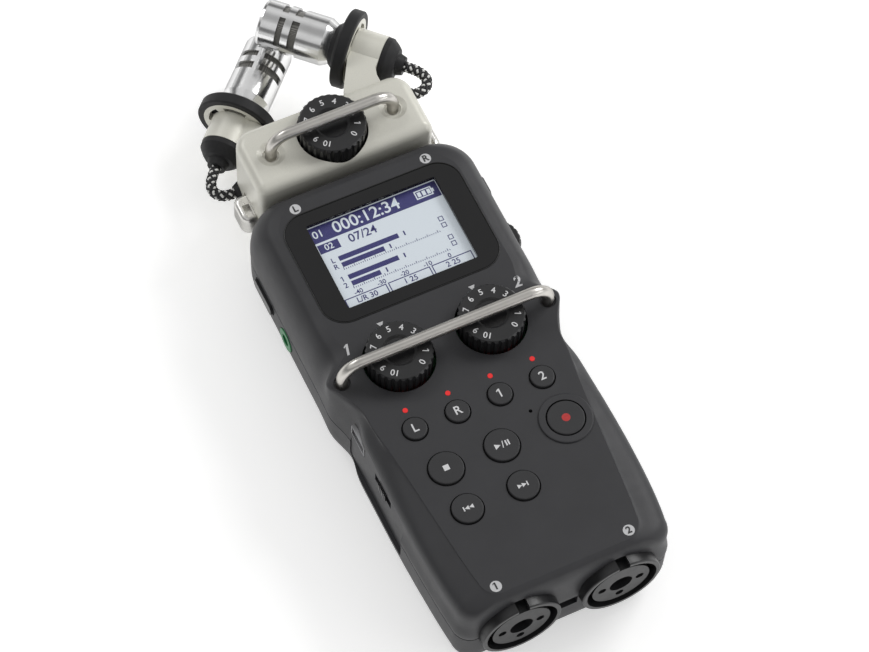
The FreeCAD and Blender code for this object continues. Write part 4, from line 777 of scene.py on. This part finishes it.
# Label, y and level of each row
METER_ROWS = (("L", 19.1, 0.62), ("R", 17.0, 0.44), ("1", 12.9, 0.52), ("2", 10.8, 0.30))
METER_X = (-14.6, 13.6)
METER_HALF = 0.75            # half the height of a bar
METER_TEXT = 2.2
METER_TEXT_GAP = 1.7
PEAK_X = (1.6, 2.0)          # past the end of a bar
PEAK_HALF = 0.7
CLIP_X = (1.2, 2.6)          # past the end of a row
CLIP_LINE = 0.22
TICK_ROWS = (15.4, 9.2)
TICKS = 46
TICK_HALF = 0.09             # half the width of a tick
TICK_LONG = 0.8              # height of every fifth tick
TICK_SHORT = 0.4
SCALE_Y = 7.8
SCALE_TEXT = 1.9
SCALE_MARKS = (("-40", 0.02), ("-30", 0.26), ("-20", 0.50), ("-10", 0.74), ("0", 0.97))


def lifted(box, y):
    """A box moved up by y."""
    x0, x1, y0, y1 = box
    return x0, x1, y + y0, y + y1


def draw_title(dark, light):
    """A dark band with light digits and a battery, and below it the take number and a counter."""
    edge = lcd_high - TITLE_HEIGHT
    dark.bar(lcd_left, lcd_right, edge, lcd_high)
    for words, size, x in TITLE_TEXTS:
        light.text(words, size, x, edge + TITLE_HEIGHT / 2)
    light.frame(*lifted(BATTERY_BOX, edge), BATTERY_LINE)
    for box in (BATTERY_TIP, *BATTERY_BARS):
        light.bar(*lifted(box, edge))
    dark.bar(*lifted(TAKE_BOX, edge))
    for shape, (words, size, x, y) in ((light, TAKE_TEXT), (dark, COUNTER_TEXT)):
        shape.text(words, size, x, edge + y)


def draw_meters(dark):
    """Level bars with a peak mark and a clip box each, scale ticks and scale numbers."""
    left, right = METER_X
    for label, y, level in METER_ROWS:
        end = left + (right - left) * level
        dark.text(label, METER_TEXT, left - METER_TEXT_GAP, y)
        dark.bar(left, end, y - METER_HALF, y + METER_HALF)
        dark.bar(end + PEAK_X[0], end + PEAK_X[1], y - PEAK_HALF, y + PEAK_HALF)
        dark.frame(right + CLIP_X[0], right + CLIP_X[1], y - METER_HALF, y + METER_HALF, CLIP_LINE)
    for y in TICK_ROWS:
        for i in range(TICKS + 1):
            x = left + (right - left) * i / TICKS
            height = TICK_SHORT if i % 5 else TICK_LONG
            dark.bar(x - TICK_HALF, x + TICK_HALF, y, y + height)
    for label, share in SCALE_MARKS:
        dark.text(label, SCALE_TEXT, left + (right - left) * share, SCALE_Y)


def draw_foot(dark):
    """Boxes with numbers along the display's lower edge."""
    low = lcd_low + FOOT_MARGIN
    for x0, x1, words in FOOT_BOXES:
        dark.frame(x0, x1, low, low + FOOT_HEIGHT, FOOT_LINE)
        dark.text(words, FOOT_TEXT, (x0 + x1) / 2, low + FOOT_HEIGHT / 2)


def make_display():
    """The glass, then its dark areas, then the light ones on top."""
    glass = Print().bar(lcd_left - GLASS_MARGIN, lcd_right + GLASS_MARGIN,
                        lcd_low - GLASS_MARGIN, lcd_high + GLASS_MARGIN)
    glass.lay("lcd_glass", pale_look, "recorder", "lcd", z=lcd_top)
    dark, light = Print(), Print()
    draw_title(dark, light)
    draw_meters(dark)
    draw_foot(dark)
    dark.lay("lcd_dark_pixels", pixel_look, "recorder", "lcd", z=lcd_top + DARK_RISE)
    light.lay("lcd_light_pixels", pale_look, "recorder", "lcd", z=lcd_top + LIGHT_RISE)


make_display()


# ---------------------------------------------------------------- legends on the front
DISC_R = 1.55
DISC_TEXT = 2.7
DISC_BOLD = 0.035
DISC_PLACES = (("L", -19.3, 36.9), ("R", 19.3, 36.9), ("1", -18.9, -85.4), ("2", 18.9, -85.4))
KNOB_MARKS = (("1", -24.9), ("2", 24.9))
KNOB_MARK_Y = -8.0
KNOB_MARK_TEXT = 4.4
KNOB_MARK_BOLD = 0.025
KNOB_MARK_SLANT = 0.25
POINTER_Y = (-5.6, -3.9)     # tip and base of the triangle above a knob
POINTER_HALF = 0.95


def make_legends():
    """Round channel signs, the knobs' numbers and their pointers."""
    discs, letters, marks = Print(), Print(), Print()
    for words, x, y in DISC_PLACES:
        discs.disc(x, y, DISC_R)
        letters.text(words, DISC_TEXT, x, y, bold=DISC_BOLD)
    for words, x in KNOB_MARKS:
        marks.text(words, KNOB_MARK_TEXT, x, KNOB_MARK_Y, shear=KNOB_MARK_SLANT,
                   bold=KNOB_MARK_BOLD)
    tip, base = POINTER_Y
    for x in (middle("gain_knob_1").x, middle("gain_knob_2").x):
        marks.polygon([(x, tip), (x + POINTER_HALF, base), (x - POINTER_HALF, base)])
    discs.lay("channel_discs", grey_ink, "recorder", "case_plastic", on="front_case")
    marks.lay("channel_marks", grey_ink, "recorder", "case_plastic", on="front_case")
    raised = letters.lay("channel_letters", dark_ink, "recorder", "case_plastic", on="front_case")
    raised.data.transform(Matrix.Translation((0, 0, PRINT_RISE * MM)))


make_legends()

NUMBER_STEP = math.radians(29.0)
NUMBER_R = 6.75
NUMBER_SIZE = 2.45


def number_ring(name, node):
    """0 to 10 round the top of a knob, 5 towards the microphones."""
    centre = middle(node)
    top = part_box(node)[1].z / MM
    ring = Print()
    for number in range(11):
        turn = (number - 5) * NUMBER_STEP
        x = centre.x - NUMBER_R * math.sin(turn)
        y = centre.y + NUMBER_R * math.cos(turn)
        ring.text(str(number), NUMBER_SIZE, x, y, turn)
    ring.lay(name, white_ink, node, "black_plastic", z=top)


number_ring("knob_1_numbers", "gain_knob_1")
number_ring("knob_2_numbers", "gain_knob_2")
number_ring("dial_numbers", "gain_dial")


TRACK_KEYS = (("L", "left"), ("R", "right"), ("1", "1"), ("2", "2"))
TRACK_TEXT = 3.5
# Places on a key are from its middle
SIGN_HALF = 0.8              # half the height of the square and the pause bars
PLAY_ARROW = 1.6
PLAY_ARROW_X = -1.25
SLASH_X = (-0.2, 0.05)       # at its lower end
SLASH_LEAN = 0.5
SLASH_HALF = 1.0
PAUSE_BARS = (0.95, 1.65)    # left edges
PAUSE_BAR_WIDTH = 0.4
SKIP_ARROW = 1.25
SKIP_ARROWS = (-1.05, 0.2)
SKIP_BAR_X = 1.05
SKIP_BAR_HALF = (0.17, 0.65)
RECORD_DOT_R = 1.15


def arrow(shape, x, y, size, direction):
    """An arrowhead along x whose middle is at x, y."""
    half = size * 0.5
    back = x - direction * half
    points = [(back, y - half), (x + direction * half, y), (back, y + half)]
    shape.polygon(points if direction > 0 else points[::-1])


def lay_on_key(sign, name, look, node):
    """Lays a sign on top of a key."""
    sign.lay(name, look, node, "key_plastic", z=KEY_TOP_Z)


def play_sign(x, y):
    """Arrow, slash and pause bars."""
    sign = Print()
    arrow(sign, x + PLAY_ARROW_X, y, PLAY_ARROW, 1)
    left, right = (x + edge for edge in SLASH_X)
    sign.polygon([(left, y - SLASH_HALF), (right, y - SLASH_HALF),
                  (right + SLASH_LEAN, y + SLASH_HALF), (left + SLASH_LEAN, y + SLASH_HALF)])
    for edge in PAUSE_BARS:
        sign.bar(x + edge, x + edge + PAUSE_BAR_WIDTH, y - SIGN_HALF, y + SIGN_HALF)
    return sign


def skip_sign(x, y, direction):
    """Two arrows that end at a bar."""
    sign = Print()
    for place in SKIP_ARROWS:
        arrow(sign, x + direction * place, y, SKIP_ARROW, direction)
    end = x + direction * SKIP_BAR_X
    across, up = SKIP_BAR_HALF
    return sign.bar(end - across, end + across, y - up, y + up)


def key_legends():
    """Signs on the track keys and the transport keys."""
    for words, key in TRACK_KEYS:
        node = "button_" + key
        centre = middle(node)
        sign = Print().text(words, TRACK_TEXT, centre.x, centre.y)
        lay_on_key(sign, node + "_legend", white_ink, node)
    play, stop, record = (middle("button_" + key) for key in ("play", "stop", "record"))
    lay_on_key(play_sign(play.x, play.y), "play_legend", white_ink, "button_play")
    square = Print().bar(stop.x - SIGN_HALF, stop.x + SIGN_HALF,
                         stop.y - SIGN_HALF, stop.y + SIGN_HALF)
    lay_on_key(square, "stop_legend", white_ink, "button_stop")
    for node, direction in (("button_rewind", -1), ("button_forward", 1)):
        centre = middle(node)
        lay_on_key(skip_sign(centre.x, centre.y, direction), node + "_legend", white_ink, node)
    red_look = glow_ink("record_red", (0.42, 0.025, 0.025), 0.12)
    dot = Print().disc(record.x, record.y, RECORD_DOT_R)
    lay_on_key(dot, "record_legend", red_look, "button_record")


key_legends()


# ---------------------------------------------------------------- floor and light
# Sizes and places in this part are in metres
FLOOR_GLOW = 0.42            # keeps the backdrop white under gentle light
FLOOR_HALF = 4.0
FLOOR_LEVEL = -0.0002
FLOOR_CORNERS = ((-1, -1), (1, -1), (1, 1), (-1, 1))
LIGHT_TARGET = Vector((0, 0, 0.02))
LIGHTS = (                   # name, place, size, power in watts
    ("key_light", (1.10, 0.30, 0.95), (0.7, 0.5), 8.0),
    ("fill_light", (-0.45, 0.95, 1.00), (0.6, 0.4), 3.0),
    ("rim_light", (0.85, -0.75, 0.50), (0.9, 0.3), 2.0),
)


def make_floor():
    """A plain pale floor just under the recorder."""
    mesh = bpy.data.meshes.new("floor")
    corners = [(x * FLOOR_HALF, y * FLOOR_HALF, FLOOR_LEVEL) for x, y in FLOOR_CORNERS]
    mesh.from_pydata(corners, [], [(0, 1, 2, 3)])
    floor = bpy.data.objects.new("floor", mesh)
    scene.collection.objects.link(floor)
    look = Look("floor", (0.88, 0.88, 0.875), 0.6, Emission_Color=(1, 1, 1, 1),
                Emission_Strength=FLOOR_GLOW)
    look.vary_colour(60.0, 0.01)
    mesh.materials.append(look.material)


def area_light(name, place, size, power):
    """A soft box that looks at the recorder."""
    data = bpy.data.lights.new(name, "AREA")
    data.shape = "RECTANGLE"
    data.size, data.size_y = size
    data.energy = power
    lamp = bpy.data.objects.new(name, data)
    scene.collection.objects.link(lamp)
    lamp.location = place
    lamp.rotation_euler = (LIGHT_TARGET - Vector(place)).to_track_quat("-Z", "Y").to_euler()


# Height above the horizon (0 to 1) and grey of the studio walls and ceiling
WORLD_BANDS = (
    (0.0, 0.60), (0.14, 0.90), (0.28, 0.25), (0.48, 0.14), (0.60, 0.80), (0.86, 0.85), (0.97, 0.45))
WORLD_STRENGTH = 0.8


def make_world():
    """Studio surroundings: grey bands for the metal to reflect."""
    world = bpy.data.worlds.new("studio")
    scene.world = world
    world.use_nodes = True
    tree = world.node_tree
    background = tree.nodes["Background"]
    background.inputs["Strength"].default_value = WORLD_STRENGTH
    coordinates = tree.nodes.new("ShaderNodeTexCoord")
    split = tree.nodes.new("ShaderNodeSeparateXYZ")
    ramp = tree.nodes.new("ShaderNodeValToRGB")
    tree.links.new(coordinates.outputs["Generated"], split.inputs[0])
    tree.links.new(split.outputs["Z"], ramp.inputs["Fac"])
    tree.links.new(ramp.outputs["Color"], background.inputs["Color"])
    bands = ramp.color_ramp.elements
    bands[0].position, bands[1].position = WORLD_BANDS[0][0], WORLD_BANDS[-1][0]
    for place, _ in WORLD_BANDS[1:-1]:
        bands.new(place)
    for band, (_, grey) in zip(bands, WORLD_BANDS):
        band.color = (grey, grey, grey, 1)


make_floor()
make_world()
for light in LIGHTS:
    area_light(*light)
scene.view_settings.view_transform = "Standard"
